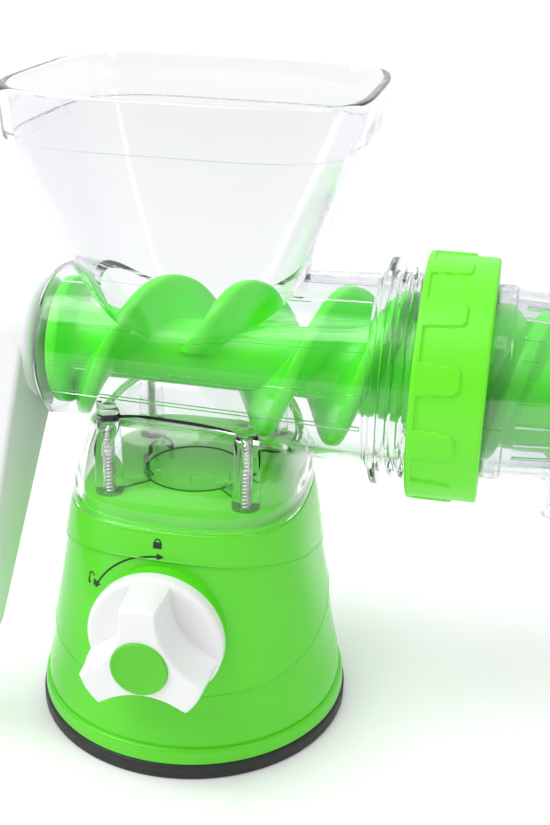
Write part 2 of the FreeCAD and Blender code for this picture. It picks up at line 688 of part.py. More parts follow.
def barrel_outside():
    body = turned_x([
        (BARREL_BACK_X, 0), (BARREL_BACK_X, BARREL_BACK_R), (BARREL_STEP_X, BARREL_STEP_R),
        (BARREL_STEP_X + 1.2, THREAD_ROOT_R), (BARREL_END_X, THREAD_ROOT_R), (BARREL_END_X, 0),
    ])
    back = [e for e in body.Edges
            if abs(e.CenterOfMass.x - BARREL_BACK_X) < 0.01 and e.Length > 150]
    body = body.makeFillet(BARREL_BACK_ROUND, back)
    flange = cyl_x(STOP_FLANGE_R, STOP_FLANGE_X, STOP_FLANGE_X + STOP_FLANGE_THICK)
    return body.fuse(flange)


def bore_radius(x):
    share = (x - BARREL_BACK_X) / (BORE_FRONT_X - BARREL_BACK_X)
    return BORE_BACK_R + (BORE_FRONT_R - BORE_BACK_R) * min(1.0, share)


def barrel_inside():
    back = BARREL_BACK_X + BARREL_BACK_WALL
    bore = turned_x([
        (back, 0), (back, bore_radius(back)), (BORE_FRONT_X, BORE_FRONT_R),
        (BARREL_END_X + 1, BORE_FRONT_R), (BARREL_END_X + 1, 0),
    ])
    grooves = []
    for degrees in GROOVE_ANGLES:
        slot = block(back + 5, BARREL_STEP_X, -GROOVE_WIDTH / 2, GROOVE_WIDTH / 2,
                     AXIS_Z + BORE_BACK_R - 4, AXIS_Z + BORE_BACK_R + GROOVE_DEPTH)
        tilt = math.degrees(math.atan2(BORE_FRONT_R - BORE_BACK_R, BORE_FRONT_X - back))
        slot.rotate(Vector(back, 0, AXIS_Z + BORE_BACK_R), Vector(0, 1, 0), -tilt)
        slot.rotate(Vector(0, 0, AXIS_Z), Vector(1, 0, 0), degrees)
        grooves.append(slot)
    return bore.multiFuse(grooves)


def thread_ridge(root_r, height, base, crest, start_x, turns, inward):
    """Helical ridge about the barrel axis, sunk slightly into its wall."""
    side = -1.0 if inward else 1.0
    sink = 0.35
    rows = []
    steps = int(turns * 24)
    for i in range(steps + 1):
        angle = 2 * math.pi * i / 24
        x = start_x + THREAD_PITCH * i / 24.0
        fade = min(1.0, i / 6.0, (steps - i) / 6.0)
        top = root_r + side * max(0.05, height * fade)
        low = root_r - side * sink
        corners = []
        for dx, r in ((-base / 2, low), (-crest / 2, top), (crest / 2, top), (base / 2, low)):
            corners.append(Vector(x + dx, r * math.cos(angle), AXIS_Z + r * math.sin(angle)))
        rows.append(Part.makePolygon(corners + corners[:1]))
    return Part.makeLoft(rows, True, False)


def make_housing():
    barrel = barrel_outside()
    hopper = hopper_solid(0.0).fuse(hopper_band(0.0, 0.0))
    pedestal = pedestal_solid(0.0, BASE_RIM_Z, 0.0)
    hollow = pedestal_solid(PEDESTAL_WALL, BASE_RIM_Z - 3, 2.0)
    pedestal = pedestal.cut(hollow)
    body = barrel.multiFuse([hopper, pedestal])
    inside = [barrel_inside(), hopper_solid(HOPPER_WALL), hopper_band(HOPPER_BAND_WALL, 1.0)]
    body = body.cut(inside[0].multiFuse(inside[1:]))
    bosses = []
    for x, y in boss_places():
        bosses.append(cyl_z(BOSS_R, PLATEAU_Z, AXIS_Z - 12, x, y))
    ring = cyl_z(RING_R, PLATEAU_Z, PLATEAU_Z + RING_HEIGHT)
    ring = ring.cut(cyl_z(RING_R - RING_WALL, PLATEAU_Z - 1, PLATEAU_Z + RING_HEIGHT + 1))
    notches = []
    for i in range(RING_NOTCHES):
        notch = block(RING_R - 5, RING_R + 5, -RING_NOTCH_WIDTH / 2, RING_NOTCH_WIDTH / 2,
                      PLATEAU_Z + RING_HEIGHT - RING_NOTCH_DEPTH, PLATEAU_Z + RING_HEIGHT + 1)
        notch.rotate(Vector(0, 0, 0), Vector(0, 0, 1), 360.0 * i / RING_NOTCHES)
        notches.append(notch)
    ring = ring.cut(Part.makeCompound(notches))
    ribs = []
    reach = math.hypot(BOSS_X, BOSS_Y)
    for x, y in boss_places():
        rib = block(RING_R - 0.5, reach - 1, -RIB_THICK / 2, RIB_THICK / 2,
                    PLATEAU_Z, PLATEAU_Z + RING_HEIGHT - RING_NOTCH_DEPTH)
        rib.rotate(Vector(0, 0, 0), Vector(0, 0, 1), math.degrees(math.atan2(y, x)))
        ribs.append(rib)
    posts = bosses[0].multiFuse(bosses[1:] + ribs + [ring])
    posts = posts.cut(barrel_inside())
    outer = pedestal_solid(0.0, BASE_RIM_Z, 0.0).fuse(barrel)
    body = body.fuse(posts.common(outer))
    ridge = thread_ridge(THREAD_ROOT_R, THREAD_HEIGHT, THREAD_BASE, THREAD_CREST,
                         THREAD_START_X, THREAD_TURNS, False)
    body = body.fuse(ridge)
    holes = [cyl_x(BUSH_R, BARREL_BACK_X - 1, BARREL_BACK_X + BARREL_BACK_WALL + 1)]
    for x, y in boss_places():
        holes.append(cyl_z(BODY_SCREW_R + 0.02, PLATEAU_Z - 1, BODY_SCREW_TIP + 0.3, x, y))
    return drilled(body, holes)


# --- rear bearing, shaft and crank ---

def make_rear_bush():
    back = BARREL_BACK_X
    body = cyl_x(BUSH_R, back, back + BARREL_BACK_WALL)
    body = body.fuse(cyl_x(BUSH_FLANGE_R, back - BUSH_FLANGE_THICK, back))
    return body.cut(cyl_x(JOURNAL_R + RUNNING_GAP, back - 5, back + 10))


def make_rear_seal():
    inner_face = BARREL_BACK_X + BARREL_BACK_WALL
    return tube_x(SEAL_R, JOURNAL_R + RUNNING_GAP, inner_face, AUGER_DISC_X - RUNNING_GAP)


def hexagon(flats, x0, x1):
    reach = flats / 2 / math.cos(math.pi / 6)
    corners = []
    for i in range(6):
        angle = math.radians(60 * i + 30)
        corners.append(Vector(x0, reach * math.sin(angle), AXIS_Z + reach * math.cos(angle)))
    face = Part.Face(Part.makePolygon(corners + corners[:1]))
    return face.extrude(Vector(x1 - x0, 0, 0))


def make_drive_shaft():
    shaft = hexagon(SHAFT_FLATS, SHAFT_OUTER_X, SHAFT_INNER_X)
    return shaft.cut(cyl_x(CRANK_SCREW_R, SHAFT_OUTER_X - 1, SHAFT_OUTER_X + 20))


def lean(shape):
    shape.rotate(Vector(0, 0, AXIS_Z), Vector(1, 0, 0), CRANK_LEAN)
    return shape


def make_crank_arm():
    hub = cyl_x(CRANK_HUB_R, CRANK_OUTER_X, CRANK_INNER_X)
    hub = hub.makeFillet(2.0, [e for e in hub.Edges if e.Length > 100])
    end_z = AXIS_Z - CRANK_REACH
    outline = [
        (-CRANK_HUB_R + 1.0, AXIS_Z), (-CRANK_END_R, end_z),
        (CRANK_END_R, end_z), (CRANK_HUB_R - 1.0, AXIS_Z),
    ]
    corners = [Vector(CRANK_OUTER_X, y, z) for y, z in outline]
    face = Part.Face(Part.makePolygon(corners + corners[:1]))
    arm = face.extrude(Vector(CRANK_ARM_INNER_X - CRANK_OUTER_X, 0, 0))
    arm = arm.fuse(cyl_x(CRANK_END_R, CRANK_OUTER_X, CRANK_ARM_INNER_X, 0, end_z))
    crank = hub.fuse(arm)
    pin_hole = cyl_x(GRIP_PIN_R, CRANK_OUTER_X - 1, CRANK_ARM_INNER_X + 1, 0, end_z)
    crank = lean(crank.cut(pin_hole))
    socket = hexagon(SHAFT_FLATS + 2 * SHAFT_GAP, SHAFT_OUTER_X - 0.2, CRANK_INNER_X + 1)
    return crank.cut(socket.fuse(cyl_x(CRANK_SCREW_R + 0.2, CRANK_OUTER_X - 1, CRANK_INNER_X)))


def make_crank_washer():
    return tube_x(WASHER_R, CRANK_SCREW_R + 0.3, CRANK_OUTER_X - WASHER_THICK, CRANK_OUTER_X)


def make_crank_screw():
    seat = CRANK_OUTER_X - WASHER_THICK
    head = cyl_x(CRANK_SCREW_HEAD_R, seat - CRANK_SCREW_HEAD, seat)
    head = head.makeFillet(2.0, [e for e in head.Edges
                                 if abs(e.CenterOfMass.x - seat + CRANK_SCREW_HEAD) < 0.01])
    return head.fuse(cyl_x(CRANK_SCREW_R, seat - 1, SHAFT_OUTER_X + 18))


def grip_z():
    return AXIS_Z - CRANK_REACH


def make_grip_pin():
    tail = GRIP_INNER_X - GRIP_LENGTH
    pin = cyl_x(GRIP_PIN_R, tail + 5, CRANK_ARM_INNER_X, 0, grip_z())
    head = cyl_x(GRIP_PIN_HEAD_R, tail + 3, tail + 6, 0, grip_z())
    return lean(pin.fuse(head))


def make_grip_washer():
    ring = cyl_x(GRIP_WASHER_R, GRIP_INNER_X + 0.1, CRANK_OUTER_X, 0, grip_z())
    return lean(ring.cut(cyl_x(GRIP_PIN_R + 0.02, GRIP_INNER_X - 1, CRANK_OUTER_X + 1, 0, grip_z())))


def make_grip():
    curve = Part.BSplineCurve()
    curve.interpolate([Vector(GRIP_INNER_X - d, 0, grip_z() + r) for d, r in GRIP_PROFILE])
    first = Vector(GRIP_INNER_X, 0, grip_z())
    last = Vector(GRIP_INNER_X - GRIP_LENGTH, 0, grip_z())
    edges = [
        Part.makeLine(first, Vector(first.x, 0, grip_z() + GRIP_PROFILE[0][1])),
        curve.toShape(),
        Part.makeLine(Vector(last.x, 0, grip_z() + GRIP_PROFILE[-1][1]), last),
        Part.makeLine(last, first),
    ]
    body = Part.Face(Part.Wire(edges)).revolve(first, Vector(1, 0, 0), 360)
    bore = cyl_x(GRIP_PIN_R + RUNNING_GAP, last.x - 1, first.x + 1, 0, grip_z())
    recess = cyl_x(GRIP_PIN_HEAD_R + 0.6, last.x - 1, last.x + 6.1, 0, grip_z())
    return lean(body.cut(bore.fuse(recess)))


# --- auger ---

def flight_x(stations, half_turns):
    """Position along the barrel after a number of half turns."""
    count = len(stations)
    low = int(math.floor(half_turns))
    low = max(0, min(count - 2, low))
    share = half_turns - low
    x0, x1 = stations[low], stations[low + 1]
    before = stations[low - 1] if low > 0 else 2 * x0 - x1
    after = stations[low + 2] if low + 2 < count else 2 * x1 - x0
    m0, m1 = (x1 - before) / 2, (after - x0) / 2
    s2, s3 = share ** 2, share ** 3
    if half_turns < 0:
        return x0 + (x1 - x0) * half_turns
    return (x0 * (2 * s3 - 3 * s2 + 1) + m0 * (s3 - 2 * s2 + share)
            + x1 * (3 * s2 - 2 * s3) + m1 * (s3 - s2))


def flight(stations, start, end, first_angle, fade_in):
    """Left-handed flight as a loft of slices through the auger's axis."""
    steps = int(round((end - start) * 180 / FLIGHT_STEP))
    wires = []
    for i in range(steps + 1):
        turn = start + (end - start) * i / steps
        x = flight_x(stations, turn)
        angle = first_angle - math.pi * turn
        core = between(CORE_PROFILE, x) - 2.5
        full = between(FLIGHT_PROFILE, x)
        rise = min(1.0, (i + 1) / fade_in, (steps - i + 1) / 5.0)
        top = core + 3.0 + (full - core - 3.0) * math.sin(rise * math.pi / 2)
        root, crest = FLIGHT_ROOT / 2, FLIGHT_CREST / 2
        mid_r = core + (top - core) * 0.62
        mid = crest + (root - crest) * 0.22
        outline = [
            (-root, core), (-mid, mid_r), (-crest, top - 1.0), (-crest + 1.2, top),
            (crest - 1.2, top), (crest, top - 1.0), (mid, mid_r), (root, core),
        ]
        corners = []
        for dx, r in outline:
            corners.append(Vector(x + dx, r * math.cos(angle), AXIS_Z + r * math.sin(angle)))
        wires.append(Part.makePolygon(corners + corners[:1]))
    return Part.makeLoft(wires, True, False)


def make_auger():
    core = turned_curve_x(CORE_PROFILE)
    disc = cyl_x(AUGER_DISC_R, AUGER_DISC_X, AUGER_DISC_X + AUGER_DISC_THICK + 0.5)
    disc = disc.makeFillet(1.0, [e for e in disc.Edges if e.Length > 120])
    journal = cyl_x(JOURNAL_R, CRANK_INNER_X + 0.6, AUGER_DISC_X + 1)
    tip = cyl_x(TIP_R, CORE_PROFILE[-1][0] - 1, TIP_END_X)
    first = flight(FLIGHT_A, FLIGHT_A_START, FLIGHT_A_END, math.radians(270), 2.0)
    second = flight(FLIGHT_B, FLIGHT_B_START, FLIGHT_B_END, math.radians(90), 6.0)
    body = core.multiFuse([disc, journal, tip])
    body = body.fuse(first)
    body = body.fuse(second)
    return body.cut(hexagon(SHAFT_FLATS, CRANK_INNER_X - 1, SHAFT_INNER_X))


# --- outlet end ---

def sector(inner, outer, x0, x1, middle, width):
    """Part of a ring about the barrel axis, used as a port."""
    points = []
    for i in range(13):
        angle = math.radians(middle - width / 2 + width * i / 12)
        points.append(Vector(x0, outer * math.cos(angle), AXIS_Z + outer * math.sin(angle)))
    for i in range(13):
        angle = math.radians(middle + width / 2 - width * i / 12)
        points.append(Vector(x0, inner * math.cos(angle), AXIS_Z + inner * math.sin(angle)))
    face = Part.Face(Part.makePolygon(points + points[:1]))
    return face.extrude(Vector(x1 - x0, 0, 0))


def make_outlet_head():
    flange_end = HEAD_FLANGE_X + HEAD_FLANGE_THICK
    shell = turned_curve_x(HEAD_PROFILE)
    collar = cyl_x(HEAD_COLLAR_R, HEAD_FLANGE_X, HEAD_COLLAR_END_X)
    collar = collar.fuse(turned_x([
        (HEAD_COLLAR_END_X - 0.5, 0), (HEAD_COLLAR_END_X - 0.5, HEAD_COLLAR_R - 0.3),
        (HEAD_PROFILE[0][0] + 0.1, HEAD_PROFILE[0][1]), (HEAD_PROFILE[0][0] + 0.1, 0),
    ]))
    flange = cyl_x(HEAD_FLANGE_R, HEAD_FLANGE_X, flange_end)
    nozzle = cyl_x(NOZZLE_R, HEAD_PROFILE[-1][0] - 2, NOZZLE_END_X)
    bead = turned_x([
        (NOZZLE_BEAD_X, 0), (NOZZLE_BEAD_X, NOZZLE_R), (NOZZLE_BEAD_X + 0.5, NOZZLE_BEAD_R),
        (NOZZLE_BEAD_X + 1.0, NOZZLE_BEAD_R), (NOZZLE_BEAD_X + 1.5, NOZZLE_R), (NOZZLE_BEAD_X + 1.5, 0),
    ])
    spout = Part.makeCone(SPOUT_R, SPOUT_R + 1.0, AXIS_Z - 20 - SPOUT_BOTTOM_Z,
                          Vector(SPOUT_X, 0, SPOUT_BOTTOM_Z))
    ribs = []
    for degrees in COLLAR_RIB_ANGLES:
        rib = block(flange_end + 3.8, HEAD_COLLAR_END_X - 0.3, -0.6, 0.6,
                    AXIS_Z + HEAD_COLLAR_R - 1, AXIS_Z + HEAD_COLLAR_R + 0.5)
        rib.rotate(Vector(0, 0, AXIS_Z), Vector(1, 0, 0), degrees - 90)
        ribs.append(rib)
    body = shell.multiFuse([collar, flange, nozzle, bead, spout] + ribs)
    inside = turned_curve_x(HEAD_BORE_PROFILE)
    socket = cyl_x(HEAD_SOCKET_R, HEAD_FLANGE_X - 1, STRAINER_SEAT_X)
    way = cyl_x(NOZZLE_BORE_R, HEAD_BORE_PROFILE[-1][0] - 1, NOZZLE_WALL_X)
    drain = cyl_z(SPOUT_BORE_R, SPOUT_BOTTOM_Z - 1, AXIS_Z - 15, SPOUT_X, 0)
    pin_way = cyl_x(TIP_R + 0.5, NOZZLE_WALL_X - 1, NOZZLE_WALL_X)
    ports = []
    for middle in (0, 180):
        ports.append(sector(PORT_INNER_R, PORT_OUTER_R, NOZZLE_WALL_X - 1, NOZZLE_END_X + 1,
                            middle, PORT_ANGLE))
    return body.cut(inside.multiFuse([socket, way, drain, pin_way] + ports))


def make_strainer():
    start, end = STRAINER_PROFILE[0][0], STRAINER_PROFILE[-1][0]
    outer = turned_curve_x(STRAINER_PROFILE)
    inner = turned_curve_x([
        (start - 5, STRAINER_PROFILE[0][1] - STRAINER_WALL + 0.3),
        (STRAINER_PROFILE[1][0], STRAINER_PROFILE[1][1] - STRAINER_WALL),
        (end + 1, STRAINER_PROFILE[-1][1] - STRAINER_WALL),
    ])
    flange = cyl_x(STRAINER_FLANGE_R, STRAINER_FLANGE_X, start)
    body = outer.fuse(flange).cut(inner)
    slots = []
    for i in range(STRAINER_SLOTS):
        slot = block(STRAINER_SLOT_X[0], STRAINER_SLOT_X[1], -STRAINER_SLOT_WIDTH / 2,
                     STRAINER_SLOT_WIDTH / 2, AXIS_Z + 20, AXIS_Z + 40)
        slot.rotate(Vector(0, 0, AXIS_Z), Vector(1, 0, 0), 360.0 * (i + 0.5) / STRAINER_SLOTS)
        slots.append(slot)
    return drilled(body, slots)


def make_front_bearing():
    x0, x1 = BEARING_X, BEARING_X + BEARING_LENGTH
    ring = tube_x(NOZZLE_BORE_R, NOZZLE_BORE_R - BEARING_RING, x0, x1)
    hub = cyl_x(BEARING_HUB_R, x0, x1)
    spokes = []
    for i in range(3):
        spoke = block(x0, x1, -BEARING_SPOKE / 2, BEARING_SPOKE / 2,
                      AXIS_Z + BEARING_HUB_R - 1, AXIS_Z + NOZZLE_BORE_R - BEARING_RING / 2)
        spoke.rotate(Vector(0, 0, AXIS_Z), Vector(1, 0, 0), 120 * i)
        spokes.append(spoke)
    body = ring.multiFuse([hub] + spokes)
    return body.cut(cyl_x(TIP_R + RUNNING_GAP, x0 - 1, x1 + 1))


def make_barrel_seal():
    return tube_x(BARREL_SEAL[1], BARREL_SEAL[0], BARREL_END_X, HEAD_FLANGE_X)


def nut_tab(degrees):
    """Raised finger on the nut's rim with a rounded end."""
    outer = NUT_R + NUT_TAB_RISE
    half = NUT_TAB_WIDTH / 2
    straight = NUT_X + NUT_TAB_LENGTH - half
    outline = block(NUT_X + 0.5, straight, -half, half, AXIS_Z, AXIS_Z + 60)
    outline = outline.fuse(cyl_z(half, AXIS_Z, AXIS_Z + 60, straight, 0))
    ring = tube_x(outer, NUT_R - 1.5, NUT_X, NUT_END_X)
    tab = ring.common(outline)
    tab.rotate(Vector(0, 0, AXIS_Z), Vector(1, 0, 0), degrees)
    return tab


def make_ring_nut():
    major = THREAD_ROOT_R + THREAD_HEIGHT + THREAD_GAP
    body = cyl_x(NUT_R, NUT_X, NUT_END_X)
    body = body.makeFillet(NUT_ROUND, [e for e in body.Edges if e.Length > 200])
    band = cyl_x(NUT_R + NUT_TAB_RISE, NUT_X, NUT_X + NUT_BAND)
    band = band.makeFillet(NUT_ROUND, [e for e in band.Edges
                                       if e.Length > 200 and e.CenterOfMass.x < NUT_X + 0.1])
    tabs = [nut_tab(NUT_TAB_TURN + 360.0 * i / NUT_TABS) for i in range(NUT_TABS)]
    body = body.multiFuse([band] + tabs)
    bore = cyl_x(major, NUT_X - 1, NUT_LIP_X - 0.05)
    body = body.cut(bore.fuse(cyl_x(NUT_LIP_BORE_R, NUT_X, NUT_END_X + 1)))
    ridge = thread_ridge(major, THREAD_HEIGHT, THREAD_BASE, THREAD_CREST,
                         NUT_THREAD_START_X, NUT_THREAD_TURNS, True)
    return body.fuse(ridge)


def make_pulp_regulator():
    body = cyl_x(REGULATOR_R, REGULATOR_X, REGULATOR_END_X)
    body = body.makeFillet(1.2, [e for e in body.Edges if e.Length > 100])
    wings = []
    for side in (0, 180):
        wing = block(REGULATOR_X + 2, REGULATOR_END_X - 1.5, -2.2, 2.2,
                     AXIS_Z + REGULATOR_R - 2, AXIS_Z + REGULATOR_R + REGULATOR_WING)
        wing.rotate(Vector(0, 0, AXIS_Z), Vector(1, 0, 0), side)
        wings.append(wing)
    body = body.multiFuse(wings)
    gap = RUNNING_GAP
    bore = cyl_x(NOZZLE_R + gap, REGULATOR_X - 1, REGULATOR_WALL_X)
    groove = cyl_x(NOZZLE_BEAD_R + gap, NOZZLE_BEAD_X - 0.3, NOZZLE_BEAD_X + 1.8)
    ports = []
    for middle in (0, 180):
        ports.append(sector(PORT_INNER_R, PORT_OUTER_R, REGULATOR_WALL_X - 1, REGULATOR_END_X + 1,
                            middle, PORT_ANGLE))
    return body.cut(bore.multiFuse([groove] + ports))


PARTS = {
    "base_shell": make_base_shell,
    "rubber_rim": make_rubber_rim,
    "rubber_membrane": make_rubber_membrane,
    "pad_centre": make_pad_centre,
    "pad_plate": make_pad_plate,
    "pad_stem": make_pad_stem,
    "stem_screw": make_stem_screw,
    "cam_shaft": make_cam_shaft,
    "shaft_clip": make_shaft_clip,
    "front_bush": make_front_bush,
    "knob": make_knob,
    "knob_cap": make_knob_cap,
    "knob_screw": make_knob_screw,
    "bearing_bridge": make_bearing_bridge,
    "bridge_screws": make_bridge_screws,
    "body_screws": make_body_screws,
    "housing": make_housing,
    "rear_bush": make_rear_bush,
    "rear_seal": make_rear_seal,
    "drive_shaft": make_drive_shaft,
    "auger": make_auger,
    "crank_arm": make_crank_arm,
    "crank_washer": make_crank_washer,
    "crank_screw": make_crank_screw,
    "grip_pin": make_grip_pin,
    "grip_washer": make_grip_washer,
    "grip": make_grip,
    "barrel_seal": make_barrel_seal,
    "outlet_head": make_outlet_head,
    "strainer": make_strainer,
    "front_bearing": make_front_bearing,
    "ring_nut": make_ring_nut,
    "pulp_regulator": make_pulp_regulator,
}

os.makedirs("parts", exist_ok=True)
for name, make in PARTS.items():
    shape = make()
    box = shape.BoundBox
    print(name, "valid", shape.isValid(), "solids", len(shape.Solids), "volume", round(shape.Volume),
          "x", round(box.XMin, 1), round(box.XMax, 1), "z", round(box.ZMin, 1), round(box.ZMax, 1))
    shape.exportStep("parts/" + name + ".step")
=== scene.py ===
import math
import bmesh
import bpy
from mathutils import Matrix, Vector


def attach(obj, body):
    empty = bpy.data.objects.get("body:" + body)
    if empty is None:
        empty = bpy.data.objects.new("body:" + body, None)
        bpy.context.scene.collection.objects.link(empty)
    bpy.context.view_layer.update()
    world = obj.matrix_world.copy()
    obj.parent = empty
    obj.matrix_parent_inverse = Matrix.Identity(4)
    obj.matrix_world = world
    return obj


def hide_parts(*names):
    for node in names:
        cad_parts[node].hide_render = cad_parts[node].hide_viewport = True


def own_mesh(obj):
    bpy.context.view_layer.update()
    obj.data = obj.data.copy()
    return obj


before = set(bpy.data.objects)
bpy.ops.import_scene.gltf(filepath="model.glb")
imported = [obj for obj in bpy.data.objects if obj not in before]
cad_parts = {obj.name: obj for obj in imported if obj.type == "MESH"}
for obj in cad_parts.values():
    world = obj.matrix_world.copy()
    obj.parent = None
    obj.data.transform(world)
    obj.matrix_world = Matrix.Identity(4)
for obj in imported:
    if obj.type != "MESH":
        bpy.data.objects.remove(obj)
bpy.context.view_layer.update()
scene = bpy.context.scene

# --- camera ---
# A standing view from above the lock knob, turned a little towards the crank.
# The lens is a short portrait one, so the hopper leans back slightly.
CAMERA_PLACE = Vector((0.117332, -0.435086, 0.324871))
CAMERA_YAW = 0.194
CAMERA_PITCH = 0.409
CAMERA_ROLL = 0.031
CAMERA_LENS = 53.66

camera_data = bpy.data.cameras.new("camera")
camera_data.lens = CAMERA_LENS
camera_data.sensor_width = 36.0
camera_data.clip_start = 0.01
camera_data.clip_end = 50.0
camera = bpy.data.objects.new("camera", camera_data)
scene.collection.objects.link(camera)
ahead = Vector((
    -math.sin(CAMERA_YAW) * math.cos(CAMERA_PITCH),
    math.cos(CAMERA_YAW) * math.cos(CAMERA_PITCH),
    -math.sin(CAMERA_PITCH),
))
level_right = Vector((math.cos(CAMERA_YAW), math.sin(CAMERA_YAW), 0.0))
level_up = level_right.cross(ahead)
camera_right = math.cos(CAMERA_ROLL) * level_right + math.sin(CAMERA_ROLL) * level_up
camera_up = math.cos(CAMERA_ROLL) * level_up - math.sin(CAMERA_ROLL) * level_right
camera_turn = Matrix((camera_right, camera_up, -ahead)).transposed().to_4x4()
camera.matrix_world = Matrix.Translation(CAMERA_PLACE) @ camera_turn
scene.camera = camera

# --- table and studio light ---
# A seamless white sweep under a light tent: an even white surround, one broad soft
# light from the upper left, and two tall strip lights whose reflections run down the
# clear walls.  Light passes many clear walls, so the ray limits are raised.
TABLE_HALF = 9.0
TENT_LOW = 0.42
TENT_HIGH = 0.93
TENT_SIDE = 0.12          # how much brighter the crank's side of the tent is
TENT_BACK = 0.34          # how much brighter the tent is behind the juicer
TENT_DIMMEST = 0.32
SKY_SUN_STRENGTH = 0.9
SKY_SUN_ANGLE = 38.0

scene.view_settings.view_transform = "Standard"
scene.cycles.max_bounces = 32
scene.cycles.transmission_bounces = 32
scene.cycles.transparent_max_bounces = 48


def new_material(name):
    """A Principled material with its node list, links and shader."""
    material = bpy.data.materials.new(name)
    material.use_nodes = True
    tree = material.node_tree
    return material, tree.nodes, tree.links, tree.nodes["Principled BSDF"]


def noise_at(nodes, links, size, detail=2.0):
    """Noise whose blotches are about this many metres across."""
    place = nodes.new("ShaderNodeTexCoord")
    field = nodes.new("ShaderNodeTexNoise")
    field.inputs["Scale"].default_value = 1.0 / size
    field.inputs["Detail"].default_value = detail
    links.new(place.outputs["Object"], field.inputs["Vector"])
    return field.outputs["Fac"]


def spread(nodes, links, field, low, high):
    """Turns noise into values between low and high."""
    ranger = nodes.new("ShaderNodeMapRange")
    ranger.inputs["From Min"].default_value = 0.3
    ranger.inputs["From Max"].default_value = 0.7
    ranger.inputs["To Min"].default_value = low
    ranger.inputs["To Max"].default_value = high
    links.new(field, ranger.inputs["Value"])
    return ranger.outputs["Result"]


def between_colours(nodes, links, field, first, second):
    """Colour that drifts from one to the other with the noise."""
    mix = nodes.new("ShaderNodeMix")
    mix.data_type = "RGBA"
    mix.inputs["A"].default_value = (*first, 1.0)
    mix.inputs["B"].default_value = (*second, 1.0)
    links.new(field, mix.inputs["Factor"])
    return mix.outputs["Result"]


def raise_surface(nodes, links, shader, field, depth, strength=1.0):
    """Small bumps of this depth in metres."""
    bump = nodes.new("ShaderNodeBump")
    bump.inputs["Distance"].default_value = depth
    bump.inputs["Strength"].default_value = strength
    links.new(field, bump.inputs["Height"])
    links.new(bump.outputs["Normal"], shader.inputs["Normal"])


def new_object(name, points, faces, material, crease=32.0, unit=0.001):
    """Mesh object from points in millimetres, smooth except at edges past the crease."""
    mesh = bpy.data.meshes.new(name)
    mesh.from_pydata([(x * unit, y * unit, z * unit) for x, y, z in points], [], faces)
    tidy = bmesh.new()
    tidy.from_mesh(mesh)
    bmesh.ops.remove_doubles(tidy, verts=tidy.verts, dist=1e-7)
    bmesh.ops.recalc_face_normals(tidy, faces=tidy.faces)
    tidy.to_mesh(mesh)
    tidy.free()
    mesh.shade_smooth()
    mesh.set_sharp_from_angle(angle=math.radians(crease))
    mesh.materials.append(material)
    piece = bpy.data.objects.new(name, mesh)
    scene.collection.objects.link(piece)
    return piece


paper, nodes, links, shader = new_material("white_sweep")
blotch = noise_at(nodes, links, 0.4)
links.new(
    between_colours(nodes, links, blotch, (0.93, 0.93, 0.93), (0.95, 0.95, 0.945)),
    shader.inputs["Base Color"],
)
links.new(spread(nodes, links, noise_at(nodes, links, 0.02), 0.55, 0.7), shader.inputs["Roughness"])
shader.inputs["Specular IOR Level"].default_value = 0.15
shader.inputs["Emission Color"].default_value = (1.0, 0.98, 1.0, 1.0)
shader.inputs["Emission Strength"].default_value = 0.07
TABLE_CELLS = 24
table_points = []
table_faces = []
for i in range(TABLE_CELLS + 1):
    for j in range(TABLE_CELLS + 1):
        table_points.append((
            TABLE_HALF * (2.0 * i / TABLE_CELLS - 1.0),
            TABLE_HALF * (2.0 * j / TABLE_CELLS - 1.0),
            0.0,
        ))
for i in range(TABLE_CELLS):
    for j in range(TABLE_CELLS):
        corner = i * (TABLE_CELLS + 1) + j
        table_faces.append((corner, corner + TABLE_CELLS + 1, corner + TABLE_CELLS + 2, corner + 1))
table = new_object("table", table_points, table_faces, paper, unit=1.0)

tent = bpy.data.worlds.new("light_tent")
tent.use_nodes = True
scene.world = tent
nodes = tent.node_tree.nodes
links = tent.node_tree.links
place = nodes.new("ShaderNodeTexCoord")
parts = nodes.new("ShaderNodeSeparateXYZ")
links.new(place.outputs["Generated"], parts.inputs["Vector"])
height = nodes.new("ShaderNodeMapRange")
height.interpolation_type = "SMOOTHSTEP"
height.inputs["From Min"].default_value = 0.0
height.inputs["From Max"].default_value = 0.75
height.inputs["To Min"].default_value = TENT_LOW
height.inputs["To Max"].default_value = TENT_HIGH
links.new(parts.outputs["Z"], height.inputs["Value"])
side = nodes.new("ShaderNodeMath")
side.operation = "MULTIPLY_ADD"
side.inputs[1].default_value = -TENT_SIDE
links.new(parts.outputs["X"], side.inputs[0])
links.new(height.outputs["Result"], side.inputs[2])
back = nodes.new("ShaderNodeMath")
back.operation = "MULTIPLY_ADD"
back.inputs[1].default_value = TENT_BACK
links.new(parts.outputs["Y"], back.inputs[0])
links.new(side.outputs["Value"], back.inputs[2])
dimmest = nodes.new("ShaderNodeMath")
dimmest.operation = "MAXIMUM"
dimmest.inputs[1].default_value = TENT_DIMMEST
links.new(back.outputs["Value"], dimmest.inputs[0])
links.new(dimmest.outputs["Value"], nodes["Background"].inputs["Strength"])
nodes["Background"].inputs["Color"].default_value = (0.98, 0.99, 1.0, 1.0)

sun_data = bpy.data.lights.new("overhead_diffuser", "SUN")
sun_data.energy = SKY_SUN_STRENGTH
sun_data.angle = math.radians(SKY_SUN_ANGLE)
sun = bpy.data.objects.new("overhead_diffuser", sun_data)
scene.collection.objects.link(sun)
sun.rotation_euler = Vector((-0.42, -0.38, 0.82)).to_track_quat("Z", "Y").to_euler()


def softbox(name, place, aim, width, height, power):
    """Rectangular area light that faces a point."""
    data = bpy.data.lights.new(name, "AREA")
    data.shape = "RECTANGLE"
    data.size = width
    data.size_y = height
    data.energy = power
    light = bpy.data.objects.new(name, data)
    light.location = place
    light.rotation_euler = (Vector(place) - Vector(aim)).to_track_quat("Z", "Y").to_euler()
    scene.collection.objects.link(light)


